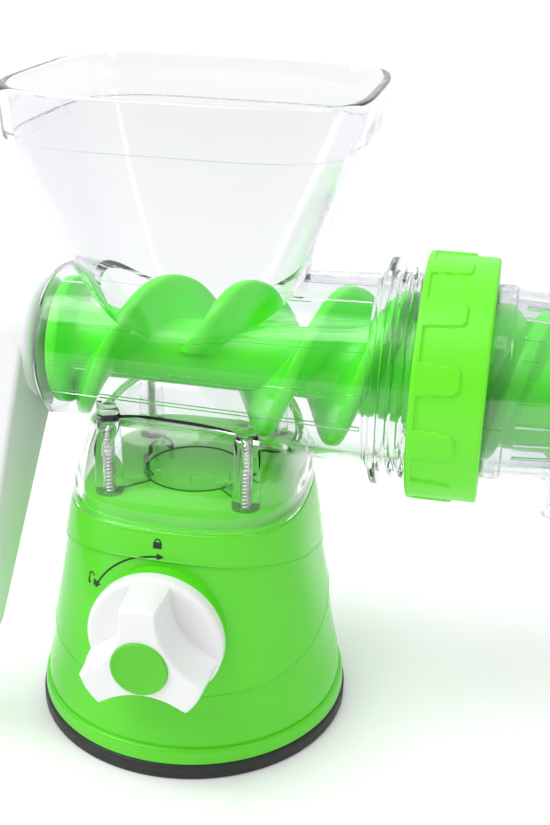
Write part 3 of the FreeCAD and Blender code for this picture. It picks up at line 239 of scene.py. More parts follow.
softbox("left_strip", (-0.75, -0.35, 0.75), (0.0, 0.0, 0.18), 0.22, 1.0, 1.8)
softbox("right_strip", (0.9, -0.55, 0.8), (0.0, 0.0, 0.2), 0.16, 1.0, 1.0)
softbox("top_box", (-0.15, -0.35, 1.1), (0.03, 0.0, 0.15), 0.55, 0.45, 1.2)

# --- base shell ---
# The foot of the juicer: one injection moulding in glossy lime green ABS, stepped in
# tiers whose edges run in waves round it, with a raised plate on top that the clear
# body stands on and a round pocket at the front for the lock knob.
BASE_PROFILE = [
    (6.5, 63.6), (20.0, 61.9), (30.0, 59.4), (47.0, 56.4),
    (60.0, 54.0), (75.0, 51.5), (90.0, 49.1), (100.0, 47.0),
]
BASE_BOTTOM_Z = 6.5
BASE_RIM_Z = 100.0
BASE_WALL = 3.2
BASE_POWER_LOW = 2.0
BASE_POWER_HIGH = 2.8
TIER_STEP = 0.75
TIER_LIP = 0.6
BELT_TOP = (75.0, -0.27)
BELT_LOW = (47.0, 0.22)
FOOT_BAND_Z = 13.2
FOOT_BAND_PROUD = 0.7
PLATEAU_Z = 104.5
PLATEAU_HALF = 42.6
PLATEAU_POWER = 2.9
PLATE_THICK = 3.0
KNOB_Z = 60.5
KNOB_SEAT_Y = -54.5
KNOB_POCKET_R = 28.2
BASE_COLUMNS = 192


def moulded(name, colour, deeper, gloss, ripple=0.00003, ripple_size=0.006, glow=0.0):
    """Moulded plastic: slight drift of colour, uneven gloss and a faint surface ripple."""
    material, nodes, links, shader = new_material(name)
    drift = noise_at(nodes, links, 0.05, 3.0)
    links.new(between_colours(nodes, links, drift, colour, deeper), shader.inputs["Base Color"])
    smear = noise_at(nodes, links, 0.004, 4.0)
    links.new(spread(nodes, links, smear, gloss - 0.02, gloss + 0.03), shader.inputs["Roughness"])
    raise_surface(nodes, links, shader, noise_at(nodes, links, ripple_size), ripple)
    shader.inputs["IOR"].default_value = 1.46
    if glow:
        shader.inputs["Subsurface Weight"].default_value = glow
        shader.inputs["Subsurface Radius"].default_value = (0.2, 1.0, 0.2)
        shader.inputs["Subsurface Scale"].default_value = 0.003
    return material


def smooth_between(table, value, column=1):
    """Smooth curve through a table of (value, result, ...) rows."""
    if value <= table[0][0]:
        return table[0][column]
    if value >= table[-1][0]:
        return table[-1][column]
    low = 0
    while table[low + 1][0] < value:
        low += 1
    high = low + 1
    before = max(low - 1, 0)
    after = min(high + 1, len(table) - 1)
    span = table[high][0] - table[low][0]
    lean_in = (table[high][column] - table[before][column]) / (table[high][0] - table[before][0])
    lean_out = (table[after][column] - table[low][column]) / (table[after][0] - table[low][0])
    t = (value - table[low][0]) / span
    return (
        table[low][column] * (2 * t ** 3 - 3 * t ** 2 + 1)
        + lean_in * span * (t ** 3 - 2 * t ** 2 + t)
        + table[high][column] * (3 * t ** 2 - 2 * t ** 3)
        + lean_out * span * (t ** 3 - t ** 2)
    )


def squared_radius(half_x, half_y, power, angle):
    """Centre to edge of a rounded square in one direction."""
    across = abs(math.cos(angle)) / half_x
    along = abs(math.sin(angle)) / half_y
    return (across ** power + along ** power) ** (-1.0 / power)


def ring_faces(rows, columns, looped=False, capped=True):
    """Faces for rings of points, closed into a loop or with a cap at each end."""
    faces = []
    for i in range(rows if looped else rows - 1):
        for j in range(columns):
            k = (j + 1) % columns
            low = i * columns
            high = ((i + 1) % rows) * columns
            faces.append((low + j, low + k, high + k, high + j))
    if capped and not looped:
        faces.append(tuple(range(columns)))
        faces.append(tuple(range((rows - 1) * columns, rows * columns)))
    return faces


def combine(piece, tool, operation, crease=32.0):
    """Exact union or difference of two solids; the tool is used up."""
    step = piece.modifiers.new("combine", "BOOLEAN")
    step.operation = operation
    step.solver = "EXACT"
    step.object = tool
    shaped = piece.evaluated_get(bpy.context.evaluated_depsgraph_get())
    mesh = bpy.data.meshes.new_from_object(shaped)
    piece.modifiers.clear()
    material = piece.data.materials[0]
    piece.data = mesh
    mesh.materials.clear()
    mesh.materials.append(material)
    mesh.shade_smooth()
    mesh.set_sharp_from_angle(angle=math.radians(crease))
    bpy.data.objects.remove(tool)


def rod(name, radius, start, end, material, axis="y", centre=(0.0, 0.0), columns=96, end_radius=None):
    """Plain solid rod, used as a cutting or joining tool."""
    far = radius if end_radius is None else end_radius
    points = []
    for place, size in ((start, radius), (end, far)):
        for j in range(columns):
            angle = 2.0 * math.pi * j / columns
            a = centre[0] + size * math.cos(angle)
            b = centre[1] + size * math.sin(angle)
            points.append({"x": (place, a, b), "y": (a, place, b), "z": (a, b, place)}[axis])
    return new_object(name, points, ring_faces(2, columns), material)


def base_point(angle, side_z, slope, extra):
    """Point on the base's skin in a plane that tips towards the knob."""
    z = side_z
    for _ in range(6):
        half = smooth_between(BASE_PROFILE, z) + extra
        share = (z - BASE_BOTTOM_Z) / (BASE_RIM_Z - BASE_BOTTOM_Z)
        power = BASE_POWER_LOW + (BASE_POWER_HIGH - BASE_POWER_LOW) * max(0.0, min(1.0, share))
        r = squared_radius(half, half, power, angle)
        z = side_z + slope * r * math.sin(angle)
    return r * math.cos(angle), r * math.sin(angle), z


def base_rows():
    """(height at the sides, slope, how far the skin stands out) from the foot to the rim."""
    rows = [(BASE_BOTTOM_Z, 0.0, -1.2), (BASE_BOTTOM_Z, 0.0, FOOT_BAND_PROUD - 0.5)]
    rows.append((BASE_BOTTOM_Z + 0.3, 0.0, FOOT_BAND_PROUD - 0.15))
    rows.append((BASE_BOTTOM_Z + 0.9, 0.0, FOOT_BAND_PROUD))
    rows += [(BASE_BOTTOM_Z + 2.5, 0.0, FOOT_BAND_PROUD), (FOOT_BAND_Z - 2.2, 0.0, FOOT_BAND_PROUD)]
    for turn in (0, 20, 40, 60, 80, 95):
        angle = math.radians(turn)
        rows.append((
            FOOT_BAND_Z - 1.3 + 1.3 * math.sin(angle), 0.0,
            FOOT_BAND_PROUD - 1.5 * (1.0 - math.cos(angle)),
        ))
    rows.append((FOOT_BAND_Z + 0.6, 0.0, -0.72))
    rows.append((FOOT_BAND_Z + 1.6, 0.0, -0.55))
    edges = [((FOOT_BAND_Z + 1.6, 0.0), BELT_LOW), (BELT_LOW, BELT_TOP), (BELT_TOP, (BASE_RIM_Z, 0.0))]
    for number, ((z0, s0), (z1, s1)) in enumerate(edges):
        last = number == len(edges) - 1
        for step in range(1, 13):
            t = step / 12.0
            drop = 0.0 if last else -TIER_STEP * t
            start = -0.55 * (1.0 - t) if number == 0 else 0.0
            z = z0 + (z1 - z0) * t
            if not last and step == 12:
                z -= 0.25
            if last and step == 12:
                z -= 1.4
            rows.append((z, s0 + (s1 - s0) * t, drop + start))
        if not last:
            for turn in (-90, -55, -20, 15, 50, 90):
                angle = math.radians(turn)
                rows.append((
                    z1 + TIER_LIP * (1.0 + math.sin(angle)) * 0.8, s1,
                    -TIER_STEP + (TIER_STEP + 0.12) * math.cos(angle) ** 0.7 if abs(turn) < 90 else
                    (-TIER_STEP if turn < 0 else 0.0),
                ))
    for turn in (0, 22, 45, 68, 90):
        angle = math.radians(turn)
        rows.append((BASE_RIM_Z - 1.3 + 1.3 * math.sin(angle), 0.0, -1.3 * (1.0 - math.cos(angle))))
    return rows


lime_green = moulded("lime_green_abs", (0.125, 0.74, 0.022), (0.11, 0.70, 0.02), 0.2)
base_points = []
skin_rows = base_rows()
for side_z, slope, extra in skin_rows:
    for j in range(BASE_COLUMNS):
        base_points.append(base_point(2.0 * math.pi * j / BASE_COLUMNS, side_z, slope, extra))
plate_rows = [
    (BASE_RIM_Z, 3.2), (BASE_RIM_Z + 0.05, 0.4), (BASE_RIM_Z + 0.6, 0.0), (PLATEAU_Z - 0.8, 0.0),
    (PLATEAU_Z - 0.25, -0.2), (PLATEAU_Z, -0.8),
]
for z, extra in plate_rows:
    for j in range(BASE_COLUMNS):
        angle = 2.0 * math.pi * j / BASE_COLUMNS
        r = squared_radius(PLATEAU_HALF + extra, PLATEAU_HALF + extra, PLATEAU_POWER, angle)
        base_points.append((r * math.cos(angle), r * math.sin(angle), z))
base_shell = new_object(
    "base_shell_skin", base_points, ring_faces(len(skin_rows) + len(plate_rows), BASE_COLUMNS), lime_green
)
cavity_points = []
cavity_rows = [5.0, 12.0, 22.0, 34.0, 47.0, 60.0, 74.0, 86.0, BASE_RIM_Z - PLATE_THICK]
for z in cavity_rows:
    half = smooth_between(BASE_PROFILE, z) - BASE_WALL
    share = max(0.0, (z - BASE_BOTTOM_Z) / (BASE_RIM_Z - BASE_BOTTOM_Z))
    for j in range(BASE_COLUMNS // 2):
        angle = 4.0 * math.pi * j / BASE_COLUMNS
        r = squared_radius(half, half, BASE_POWER_LOW + (BASE_POWER_HIGH - BASE_POWER_LOW) * share, angle)
        cavity_points.append((r * math.cos(angle), r * math.sin(angle), z))
for z in (BASE_RIM_Z - PLATE_THICK + 0.01, PLATEAU_Z - PLATE_THICK):
    for j in range(BASE_COLUMNS // 2):
        angle = 4.0 * math.pi * j / BASE_COLUMNS
        r = squared_radius(PLATEAU_HALF - BASE_WALL, PLATEAU_HALF - BASE_WALL, PLATEAU_POWER, angle)
        cavity_points.append((r * math.cos(angle), r * math.sin(angle), z))
cavity = new_object(
    "cavity", cavity_points, ring_faces(len(cavity_rows) + 2, BASE_COLUMNS // 2), lime_green
)
seat_back = rod(
    "seat_back", KNOB_POCKET_R + BASE_WALL, KNOB_SEAT_Y - 4.0, KNOB_SEAT_Y + BASE_WALL, lime_green,
    centre=(0.0, KNOB_Z),
)
combine(seat_back, rod("boss", 12.0, KNOB_SEAT_Y - 1.0, KNOB_SEAT_Y + 13.5, lime_green,
                       centre=(0.0, KNOB_Z)), "UNION")
combine(cavity, seat_back, "DIFFERENCE")
combine(base_shell, rod("seat", 25.5, KNOB_SEAT_Y, KNOB_SEAT_Y + 12.0, lime_green,
                        centre=(0.0, KNOB_Z)), "UNION")
combine(base_shell, cavity, "DIFFERENCE")
combine(base_shell, rod("pocket", KNOB_POCKET_R, KNOB_SEAT_Y - 40.0, KNOB_SEAT_Y, lime_green,
                        centre=(0.0, KNOB_Z)), "DIFFERENCE")
combine(base_shell, rod("bush_hole", 8.0, KNOB_SEAT_Y - 3.0, KNOB_SEAT_Y + 16.0, lime_green,
                        centre=(0.0, KNOB_Z)), "DIFFERENCE")
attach(base_shell, "frame")
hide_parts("base_shell")

# --- suction foot ---
# A black rubber rim is pressed onto the bottom of the shell, with a soft cone of the
# same rubber across it that the locking pad lifts.  The pad sits in the middle, held to
# a moulded stem by a steel plate and a screw.
RIM_R = 65.0
RIM_HEIGHT = 6.5
RIM_INNER_R = 53.5
MEMBRANE_LOW_Z = 2.0
PAD_LIFT = 5.0
PAD_R = 26.0
PAD_TOP = 9.5
RIM_COLUMNS = 160


def turned(name, outline, material, axis="z", columns=128, looped=True, centre=(0.0, 0.0), crease=32.0):
    """Solid of revolution from (along, radius) points; a looped outline makes a ring."""
    points = []
    for along, radius in outline:
        for j in range(columns):
            angle = 2.0 * math.pi * j / columns
            a = centre[0] + radius * math.cos(angle)
            b = centre[1] + radius * math.sin(angle)
            points.append({"x": (along, a, b), "y": (a, along, b), "z": (a, b, along)}[axis])
    return new_object(name, points, ring_faces(len(outline), columns, looped), material, crease)


def rounded_corner(along, radius, size, start, end, steps=5):
    """Points of a quarter turn round a centre, angles in degrees from the axis direction."""
    return [
        (
            along + size * math.cos(math.radians(start + (end - start) * i / steps)),
            radius + size * math.sin(math.radians(start + (end - start) * i / steps)),
        )
        for i in range(steps + 1)
    ]


black_rubber, nodes, links, shader = new_material("black_rubber")
dust = noise_at(nodes, links, 0.012, 5.0)
links.new(between_colours(nodes, links, dust, (0.010, 0.010, 0.010), (0.020, 0.020, 0.021)),
          shader.inputs["Base Color"])
links.new(spread(nodes, links, noise_at(nodes, links, 0.003, 3.0), 0.42, 0.58), shader.inputs["Roughness"])
raise_surface(nodes, links, shader, noise_at(nodes, links, 0.0007, 3.0), 0.00004)

skirt_r = BASE_PROFILE[0][1] - BASE_WALL - 0.2
rim_outline = [(MEMBRANE_LOW_Z, RIM_INNER_R), (0.35, RIM_INNER_R + 2.8), (0.0, RIM_INNER_R + 3.6)]
rim_outline += [(0.35, RIM_INNER_R + 5.4), (0.35, RIM_INNER_R + 6.4), (0.0, RIM_INNER_R + 7.2)]
rim_outline += rounded_corner(1.1, RIM_R - 1.1, 1.1, 180, 90)
rim_outline += [(RIM_HEIGHT * 0.5, RIM_R - 0.12)]
rim_outline += rounded_corner(RIM_HEIGHT - 1.5, RIM_R - 1.5, 1.5, 90, 0)
rim_outline += [(RIM_HEIGHT, skirt_r + 0.4), (RIM_HEIGHT + 0.4, skirt_r)]
rim_outline += [(RIM_HEIGHT + 3.0, skirt_r), (RIM_HEIGHT + 3.0, skirt_r - 2.6)]
rim_outline += [(MEMBRANE_LOW_Z + 2.5, skirt_r - 3.0), (MEMBRANE_LOW_Z + 2.5, RIM_INNER_R)]
rubber_rim = turned("rubber_rim_ring", rim_outline, black_rubber, columns=RIM_COLUMNS)
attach(rubber_rim, "frame")
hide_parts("rubber_rim")

cone_steps = 14
cone_low = []
cone_high = []
for i in range(cone_steps + 1):
    t = i / cone_steps
    rise = PAD_LIFT * (t * t * (3.0 - 2.0 * t) * 0.5 + t * 0.5)
    ripple = 0.25 * math.sin(t * math.pi * 4.0) * math.sin(t * math.pi)
    cone_low.append((MEMBRANE_LOW_Z + rise + ripple, RIM_INNER_R + (PAD_R - RIM_INNER_R) * t))
    cone_high.append((MEMBRANE_LOW_Z + rise + ripple + 1.9, RIM_INNER_R + (PAD_R - RIM_INNER_R) * t))
membrane = turned("rubber_cone", cone_low + cone_high[::-1], black_rubber, columns=RIM_COLUMNS)
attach(membrane, "frame")
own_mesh(membrane)
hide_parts("rubber_membrane")

pad_outline = [(MEMBRANE_LOW_Z + PAD_LIFT, 0.01), (MEMBRANE_LOW_Z + PAD_LIFT, 7.0)]
for radius in (10.0, 14.0, 18.0, 22.0):
    pad_outline += [
        (MEMBRANE_LOW_Z + PAD_LIFT, radius - 0.6), (MEMBRANE_LOW_Z + PAD_LIFT + 0.35, radius),
        (MEMBRANE_LOW_Z + PAD_LIFT, radius + 0.6),
    ]
pad_outline += [
    (MEMBRANE_LOW_Z + PAD_LIFT, PAD_R - 0.6), (MEMBRANE_LOW_Z + PAD_LIFT + 0.6, PAD_R),
    (PAD_TOP, PAD_R), (PAD_TOP, 4.6), (PAD_TOP - 1.6, 4.6), (PAD_TOP - 1.6, 0.01),
]
pad = turned("pad_disc", pad_outline, black_rubber, looped=False)
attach(pad, "suction_pad")
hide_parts("pad_centre")

steel, nodes, links, shader = new_material("bright_steel")
shader.inputs["Metallic"].default_value = 1.0
grain = noise_at(nodes, links, 0.0015, 5.0)
links.new(between_colours(nodes, links, grain, (0.55, 0.55, 0.56), (0.68, 0.68, 0.69)),
          shader.inputs["Base Color"])
links.new(spread(nodes, links, grain, 0.2, 0.36), shader.inputs["Roughness"])
raise_surface(nodes, links, shader, noise_at(nodes, links, 0.0004), 0.00001)

white_acetal = moulded("white_acetal", (0.80, 0.80, 0.78), (0.76, 0.76, 0.74), 0.42)
grey_nylon = moulded("grey_nylon", (0.30, 0.31, 0.32), (0.26, 0.27, 0.28), 0.45)


def refinish(node, material):
    """Gives a carried-over CAD piece its real surface."""
    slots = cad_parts[node].data.materials
    if len(slots) == 0:
        slots.append(material)
    for i in range(len(slots)):
        slots[i] = material


refinish("pad_plate", steel)
refinish("stem_screw", steel)
refinish("pad_stem", white_acetal)

# --- lock shaft and its bearings ---
# A moulded shaft with an eccentric in its middle lifts the stem as the knob turns.  It
# runs in a bush pressed into the shell and in a bridge screwed under the top plate.
for node in ("cam_shaft", "front_bush", "bearing_bridge"):
    refinish(node, grey_nylon)
for node in ("shaft_clip", "bridge_screws", "knob_screw"):
    refinish(node, steel)

# --- lock knob ---
# A glossy white moulded knob: a dished disc with a three-lobed grip standing out of
# it, finger scoops between the lobes, and a lime green cap snapped in over its screw.
KNOB_BACK_Y = -55.0
KNOB_FRONT_Y = -79.0
KNOB_DISC_R = 26.6
KNOB_DISC_DEPTH = 6.0
STAR_FRONT = (24.4, 41.8, 29.5)
STAR_BACK = (25.6, 36.1, 24.1)
STAR_TURN = math.radians(92.0)
STAR_EDGE = 1.3
KNOB_CAP_R = 11.0
KNOB_COLUMNS = 240


def star_radius(angle, t):
    """Outline of the three-lobed grip, t from 0 at the disc to 1 at the front."""
    reach, distance, scoop = [b + (f - b) * t for b, f in zip(STAR_BACK, STAR_FRONT)]
    turn = (angle - STAR_TURN) % (2.0 * math.pi / 3.0) - math.pi / 3.0
    inside = scoop ** 2 - (distance * math.sin(turn)) ** 2
    if inside <= 0.0:
        return reach
    valley = distance * math.cos(turn) - math.sqrt(inside)
    soft = 0.45
    return -soft * math.log(math.exp(-reach / soft) + math.exp(-valley / soft))


knob_white = moulded("gloss_white_abs", (0.90, 0.90, 0.895), (0.88, 0.88, 0.88), 0.24)
disc_back = KNOB_BACK_Y
disc_face = KNOB_BACK_Y - KNOB_DISC_DEPTH
disc_outline = [(disc_back, 0.01), (disc_back, KNOB_DISC_R - 0.8)]
disc_outline += rounded_corner(disc_back - 0.8, KNOB_DISC_R - 0.8, 0.8, 0, 90)
disc_outline += rounded_corner(disc_face + 1.8, KNOB_DISC_R - 1.8, 1.8, 90, 180)
disc_outline += [
    (disc_face + 0.3, 23.2), (disc_face + 0.9, 20.5), (disc_face + 1.5, 17.0), (disc_face + 1.9, 13.0),
    (disc_face + 2.0, 0.01),
]
knob = turned("lock_knob", disc_outline, knob_white, axis="y", looped=False, centre=(0.0, KNOB_Z),
              columns=KNOB_COLUMNS)
star_points = []
star_rows = [(disc_face + 3.0 - step * 1.8, 0.0) for step in range(0, 11)]
star_rows += [
    (
        KNOB_FRONT_Y + STAR_EDGE * (1.0 - math.sin(math.radians(a))),
        STAR_EDGE * (1.0 - math.cos(math.radians(a))),
    )
    for a in (0, 20, 40, 60, 75, 90)
]
star_rows += [(KNOB_FRONT_Y, 2.6)]
for y, inset in star_rows:
    t = (y - disc_face) / (KNOB_FRONT_Y - disc_face)
    for j in range(KNOB_COLUMNS):
        angle = 2.0 * math.pi * j / KNOB_COLUMNS
        r = min(star_radius(angle, max(0.0, t)), 25.8) - inset
        star_points.append((r * math.cos(angle), y, KNOB_Z + r * math.sin(angle)))
star = new_object("star", star_points, ring_faces(len(star_rows), KNOB_COLUMNS), knob_white)
combine(knob, star, "UNION")
socket = rod("socket", 5.0, -72.0, KNOB_BACK_Y + 1.0, knob_white, centre=(0.0, KNOB_Z))
combine(knob, socket, "DIFFERENCE")
cap_seat = rod("cap_seat", KNOB_CAP_R, KNOB_FRONT_Y - 1.0, KNOB_FRONT_Y + 2.0, knob_white,
               centre=(0.0, KNOB_Z))
combine(cap_seat, rod("screw_way", 4.4, KNOB_FRONT_Y - 0.5, KNOB_FRONT_Y + 4.5, knob_white,
                      centre=(0.0, KNOB_Z)), "UNION")
combine(cap_seat, rod("screw_hole", 2.1, KNOB_FRONT_Y, -71.0, knob_white, centre=(0.0, KNOB_Z)), "UNION")
combine(knob, cap_seat, "DIFFERENCE")
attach(knob, "knob_shaft")
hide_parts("knob")

cap_green = moulded("cap_green_abs", (0.11, 0.62, 0.02), (0.10, 0.58, 0.018), 0.3)
cap_outline = [(KNOB_FRONT_Y + 2.0, 0.01), (KNOB_FRONT_Y + 2.0, KNOB_CAP_R - 0.05)]
cap_outline += [(KNOB_FRONT_Y - 0.4, KNOB_CAP_R - 0.05)]
cap_outline += rounded_corner(KNOB_FRONT_Y - 0.5, KNOB_CAP_R - 0.65, 0.6, 90, 180)
cap_outline += [
    (KNOB_FRONT_Y - 1.0, KNOB_CAP_R - 1.15), (KNOB_FRONT_Y - 0.85, KNOB_CAP_R - 1.8),
    (KNOB_FRONT_Y - 0.75, KNOB_CAP_R - 4.0), (KNOB_FRONT_Y - 0.7, 0.01),
]
knob_cap = turned("knob_cap_disc", cap_outline, cap_green, axis="y", looped=False, centre=(0.0, KNOB_Z))
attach(knob_cap, "knob_shaft")
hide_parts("knob_cap")

# --- printed lock marks ---
# Pad-printed black marks above the knob: a two-headed arc between a closed and an
# open padlock.  The ink film follows the curve of the shell.
MARK_R = 29.7
MARK_WIDTH = 0.75
MARK_LIFT = 0.03
MARK_START = 94.0
MARK_END = 152.0


def shell_y(x, z):
    """Front face of the shell at a place seen along the knob's axis."""
    y = -50.0
    for _ in range(24):
        low = BELT_LOW[0] + BELT_LOW[1] * y
        high = BELT_TOP[0] + BELT_TOP[1] * y
        drop = 0.0 if z > high else -TIER_STEP * max(0.0, (z - low) / (high - low))
        half = smooth_between(BASE_PROFILE, z) + drop
        share = (z - BASE_BOTTOM_Z) / (BASE_RIM_Z - BASE_BOTTOM_Z)
        power = BASE_POWER_LOW + (BASE_POWER_HIGH - BASE_POWER_LOW) * share
        y = -half * (1.0 - min(0.98, abs(x) / half) ** power) ** (1.0 / power)
    return y


def mark_strip(left, right):
    """Thin raised film between two lines of (x, z) points on the shell's front."""
    points = []
    for lift in (MARK_LIFT, -0.25):
        for x, z in left + right[::-1]:
            points.append((x, shell_y(x, z) - lift, z))
    count = len(left)
    total = 2 * count
    faces = []
    for i in range(count - 1):
        faces.append((i, i + 1, total - 2 - i, total - 1 - i))
        faces.append((total + i + 1, total + i, 2 * total - 1 - i, 2 * total - 2 - i))
    for i in range(total):
        k = (i + 1) % total
        faces.append((i, total + i, total + k, k))
    return points, faces


def joined(pieces_of_mesh):
    """One list of points and faces from several."""
    points = []
    faces = []
    for some_points, some_faces in pieces_of_mesh:
        start = len(points)
        points += some_points
        faces += [tuple(start + i for i in face) for face in some_faces]
    return points, faces


def arc_line(radius, first, last, steps, centre=(0.0, KNOB_Z)):
    line = []
    for i in range(steps + 1):
        angle = math.radians(first + (last - first) * i / steps)
        line.append((centre[0] + radius * math.cos(angle), centre[1] + radius * math.sin(angle)))
    return line


def arrow_head(turn, way):
    """Triangle on the arc that points on round it."""
    tip = math.radians(turn + way * 5.6)
    back = math.radians(turn)
    left = []
    right = []
    for i in range(5):
        t = i / 4.0
        angle = back + (tip - back) * t
        half = 1.35 * (1.0 - t) + 0.02
        left.append(((MARK_R + half) * math.cos(angle), KNOB_Z + (MARK_R + half) * math.sin(angle)))
        right.append(((MARK_R - half) * math.cos(angle), KNOB_Z + (MARK_R - half) * math.sin(angle)))
    return mark_strip(left, right)


def padlock(x, z, size, opened):
    """Padlock outline: a filled body and a shackle, swung up when open."""
    body_left = [(x - size, z - size * 0.8 + size * 1.5 * i / 4.0) for i in range(5)]
    body_right = [(x + size, z - size * 0.8 + size * 1.5 * i / 4.0) for i in range(5)]
    lift = size * 0.65 if opened else 0.0
    centre = (x, z + size * 0.75 + lift)
    outer = arc_line(size * 0.78, 0.0, 180.0, 12, centre)
    inner = arc_line(size * 0.42, 0.0, 180.0, 12, centre)
    parts = [mark_strip(body_left, body_right), mark_strip(outer, inner)]
    if opened:
        leg = [(x - size * 0.78, z + size * 0.6), (x - size * 0.78, centre[1])]
        leg_inner = [(x - size * 0.42, z + size * 0.6), (x - size * 0.42, centre[1])]
        parts.append(mark_strip(leg, leg_inner))
    return joined(parts)


ink, nodes, links, shader = new_material("black_print")
links.new(between_colours(nodes, links, noise_at(nodes, links, 0.0012, 3.0), (0.012, 0.016, 0.010),
                          (0.022, 0.034, 0.016)), shader.inputs["Base Color"])
links.new(spread(nodes, links, noise_at(nodes, links, 0.002), 0.38, 0.5), shader.inputs["Roughness"])
half_width = MARK_WIDTH / 2.0
arc_film = mark_strip(
    arc_line(MARK_R + half_width, MARK_START, MARK_END, 40),
    arc_line(MARK_R - half_width, MARK_START, MARK_END, 40),
)
marks = joined([
    arc_film, arrow_head(MARK_START, -1.0), arrow_head(MARK_END, 1.0),
    padlock(-2.0, 94.6, 1.7, False), padlock(-29.2, 74.0, 1.7, True),
])
printed = new_object("printed_lock_marks", marks[0], marks[1], ink)
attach(printed, "frame")

# --- clear body ---
# One large clear polycarbonate moulding: the skirt that stands on the base, the feed
# barrel with its thread and stop flange, and the funnel.  Four posts inside the skirt
# take the screws from below.
AXIS_Z = 155.0
SKIRT_SHAPE = [
    (100.0, 46.2), (107.975, 45.2), (115.95, 43.6), (123.98, 41.2),
    (131.02, 37.4), (137.0, 31.5), (140.98, 23.0),
]
SKIRT_BAND_Z = 107.2
SKIRT_POWER = 2.9
SKIRT_WALL = 2.6
BARREL_BACK_X = -57.5
BARREL_END_X = 104.0
BARREL_STEP_X = 70.0
BARREL_BACK_R = 31.2
BARREL_STEP_R = 36.8
BARREL_ROUND = 6.0
BARREL_BACK_WALL = 3.0
BORE_BACK_R = 29.3
BORE_FRONT_R = 32.6
BORE_FRONT_X = 75.0
STOP_FLANGE_X = 73.2
STOP_FLANGE_THICK = 2.6
STOP_FLANGE_R = 43.3
THREAD_PITCH = 4.0
THREAD_ROOT_R = 38.2
THREAD_HEIGHT = 1.8
THREAD_START_X = 77.5
THREAD_TURNS = 6.0
SCORE_ANGLES = (2.0, 32.0, 65.0, 340.0, 178.0, 148.0, 115.0, 200.0)
SCORE_DEPTH = 0.7
SCORE_HALF = 0.8
FUNNEL_SHAPE = [
    (150.0, 22.0, 23.0, 2.6, 0.8), (160.0, 26.0, 26.5, 2.7, 0.8),
    (170.0, 31.0, 31.0, 2.8, 0.8), (181.0, 37.5, 36.0, 3.0, 0.8),
    (191.0, 42.4, 40.4, 3.2, 0.8), (202.0, 47.6, 45.0, 3.4, 0.7),
    (214.0, 52.0, 49.2, 3.7, 0.9), (228.0, 57.4, 54.0, 3.9, 1.4),
    (242.5, 62.3, 58.4, 4.1, 1.9),
]
FUNNEL_BAND_LOW = (242.5, 63.4, 59.4, 4.1, 1.9)
FUNNEL_TOP = (260.0, 64.6, 60.4, 4.1, 2.2)
FUNNEL_WALL = 2.1
FUNNEL_BAND_WALL = 3.0
POST_PLACES = [(27.0 * a, 28.0 * b) for a in (-1, 1) for b in (-1, 1)]
POST_R = 5.0
KEY_RING_R = 21.5
KEY_RING_WALL = 1.8
KEY_RING_HEIGHT = 6.0


def clear_plastic(name, tint, gloss, painted_edge_tint, haze=1.0, bend=1.17):
    """Clear moulding that lets lamp light through, with painted light at its edges: seen edge-on its colour
    turns to the edge colour, a painted sheen where that is lighter and painted shade where it is darker.
    """
    material, nodes, links, shader = new_material(name)
    shader.inputs["Transmission Weight"].default_value = haze
    shader.inputs["Coat Weight"].default_value = 0.75
    shader.inputs["Coat Roughness"].default_value = 0.03
    shader.inputs["IOR"].default_value = bend
    shader.inputs["Roughness"].default_value = gloss
    # Painted edge light: the base colour moves to the edge colour as the surface turns edge-on.
    edge = nodes.new("ShaderNodeLayerWeight")
    edge.inputs["Blend"].default_value = 0.35
    links.new(between_colours(nodes, links, edge.outputs["Facing"], tint, painted_edge_tint),
              shader.inputs["Base Color"])
    raise_surface(nodes, links, shader, noise_at(nodes, links, 0.02, 1.0), 0.00006)
    path = nodes.new("ShaderNodeLightPath")
    see_through = nodes.new("ShaderNodeBsdfTransparent")
    see_through.inputs["Color"].default_value = (0.96, 0.965, 0.97, 1.0)
    mix = nodes.new("ShaderNodeMixShader")
    links.new(path.outputs["Is Shadow Ray"], mix.inputs["Fac"])
    links.new(shader.outputs["BSDF"], mix.inputs[1])
    links.new(see_through.outputs["BSDF"], mix.inputs[2])
    links.new(mix.outputs["Shader"], nodes["Material Output"].inputs["Surface"])
    return material


# The lighter, bluer edge colour here is a painted sheen for the light along the clear body's rims.
clear_body = clear_plastic("clear_polycarbonate", (0.905, 0.91, 0.912), 0.015, (0.94, 0.945, 0.985))


def bore_radius(x):
    share = (x - BARREL_BACK_X) / (BORE_FRONT_X - BARREL_BACK_X)
    return BORE_BACK_R + (BORE_FRONT_R - BORE_BACK_R) * min(1.0, share)


def thread_bump(x, angle, start, turns):
    """0 to 1 height of a rounded-top thread that fades in and out at its ends."""
    turned_by = (x - start) / THREAD_PITCH
    share = turned_by - angle / (2.0 * math.pi)
    nearest = round(share)
    along = nearest + angle / (2.0 * math.pi)
    if along < 0.0 or along > turns:
        return 0.0
    fade = min(1.0, along / 0.25, (turns - along) / 0.25)
    gap = abs(share - nearest) * THREAD_PITCH
    return max(0.0, min(1.0, (0.95 - gap) / 0.5)) * fade


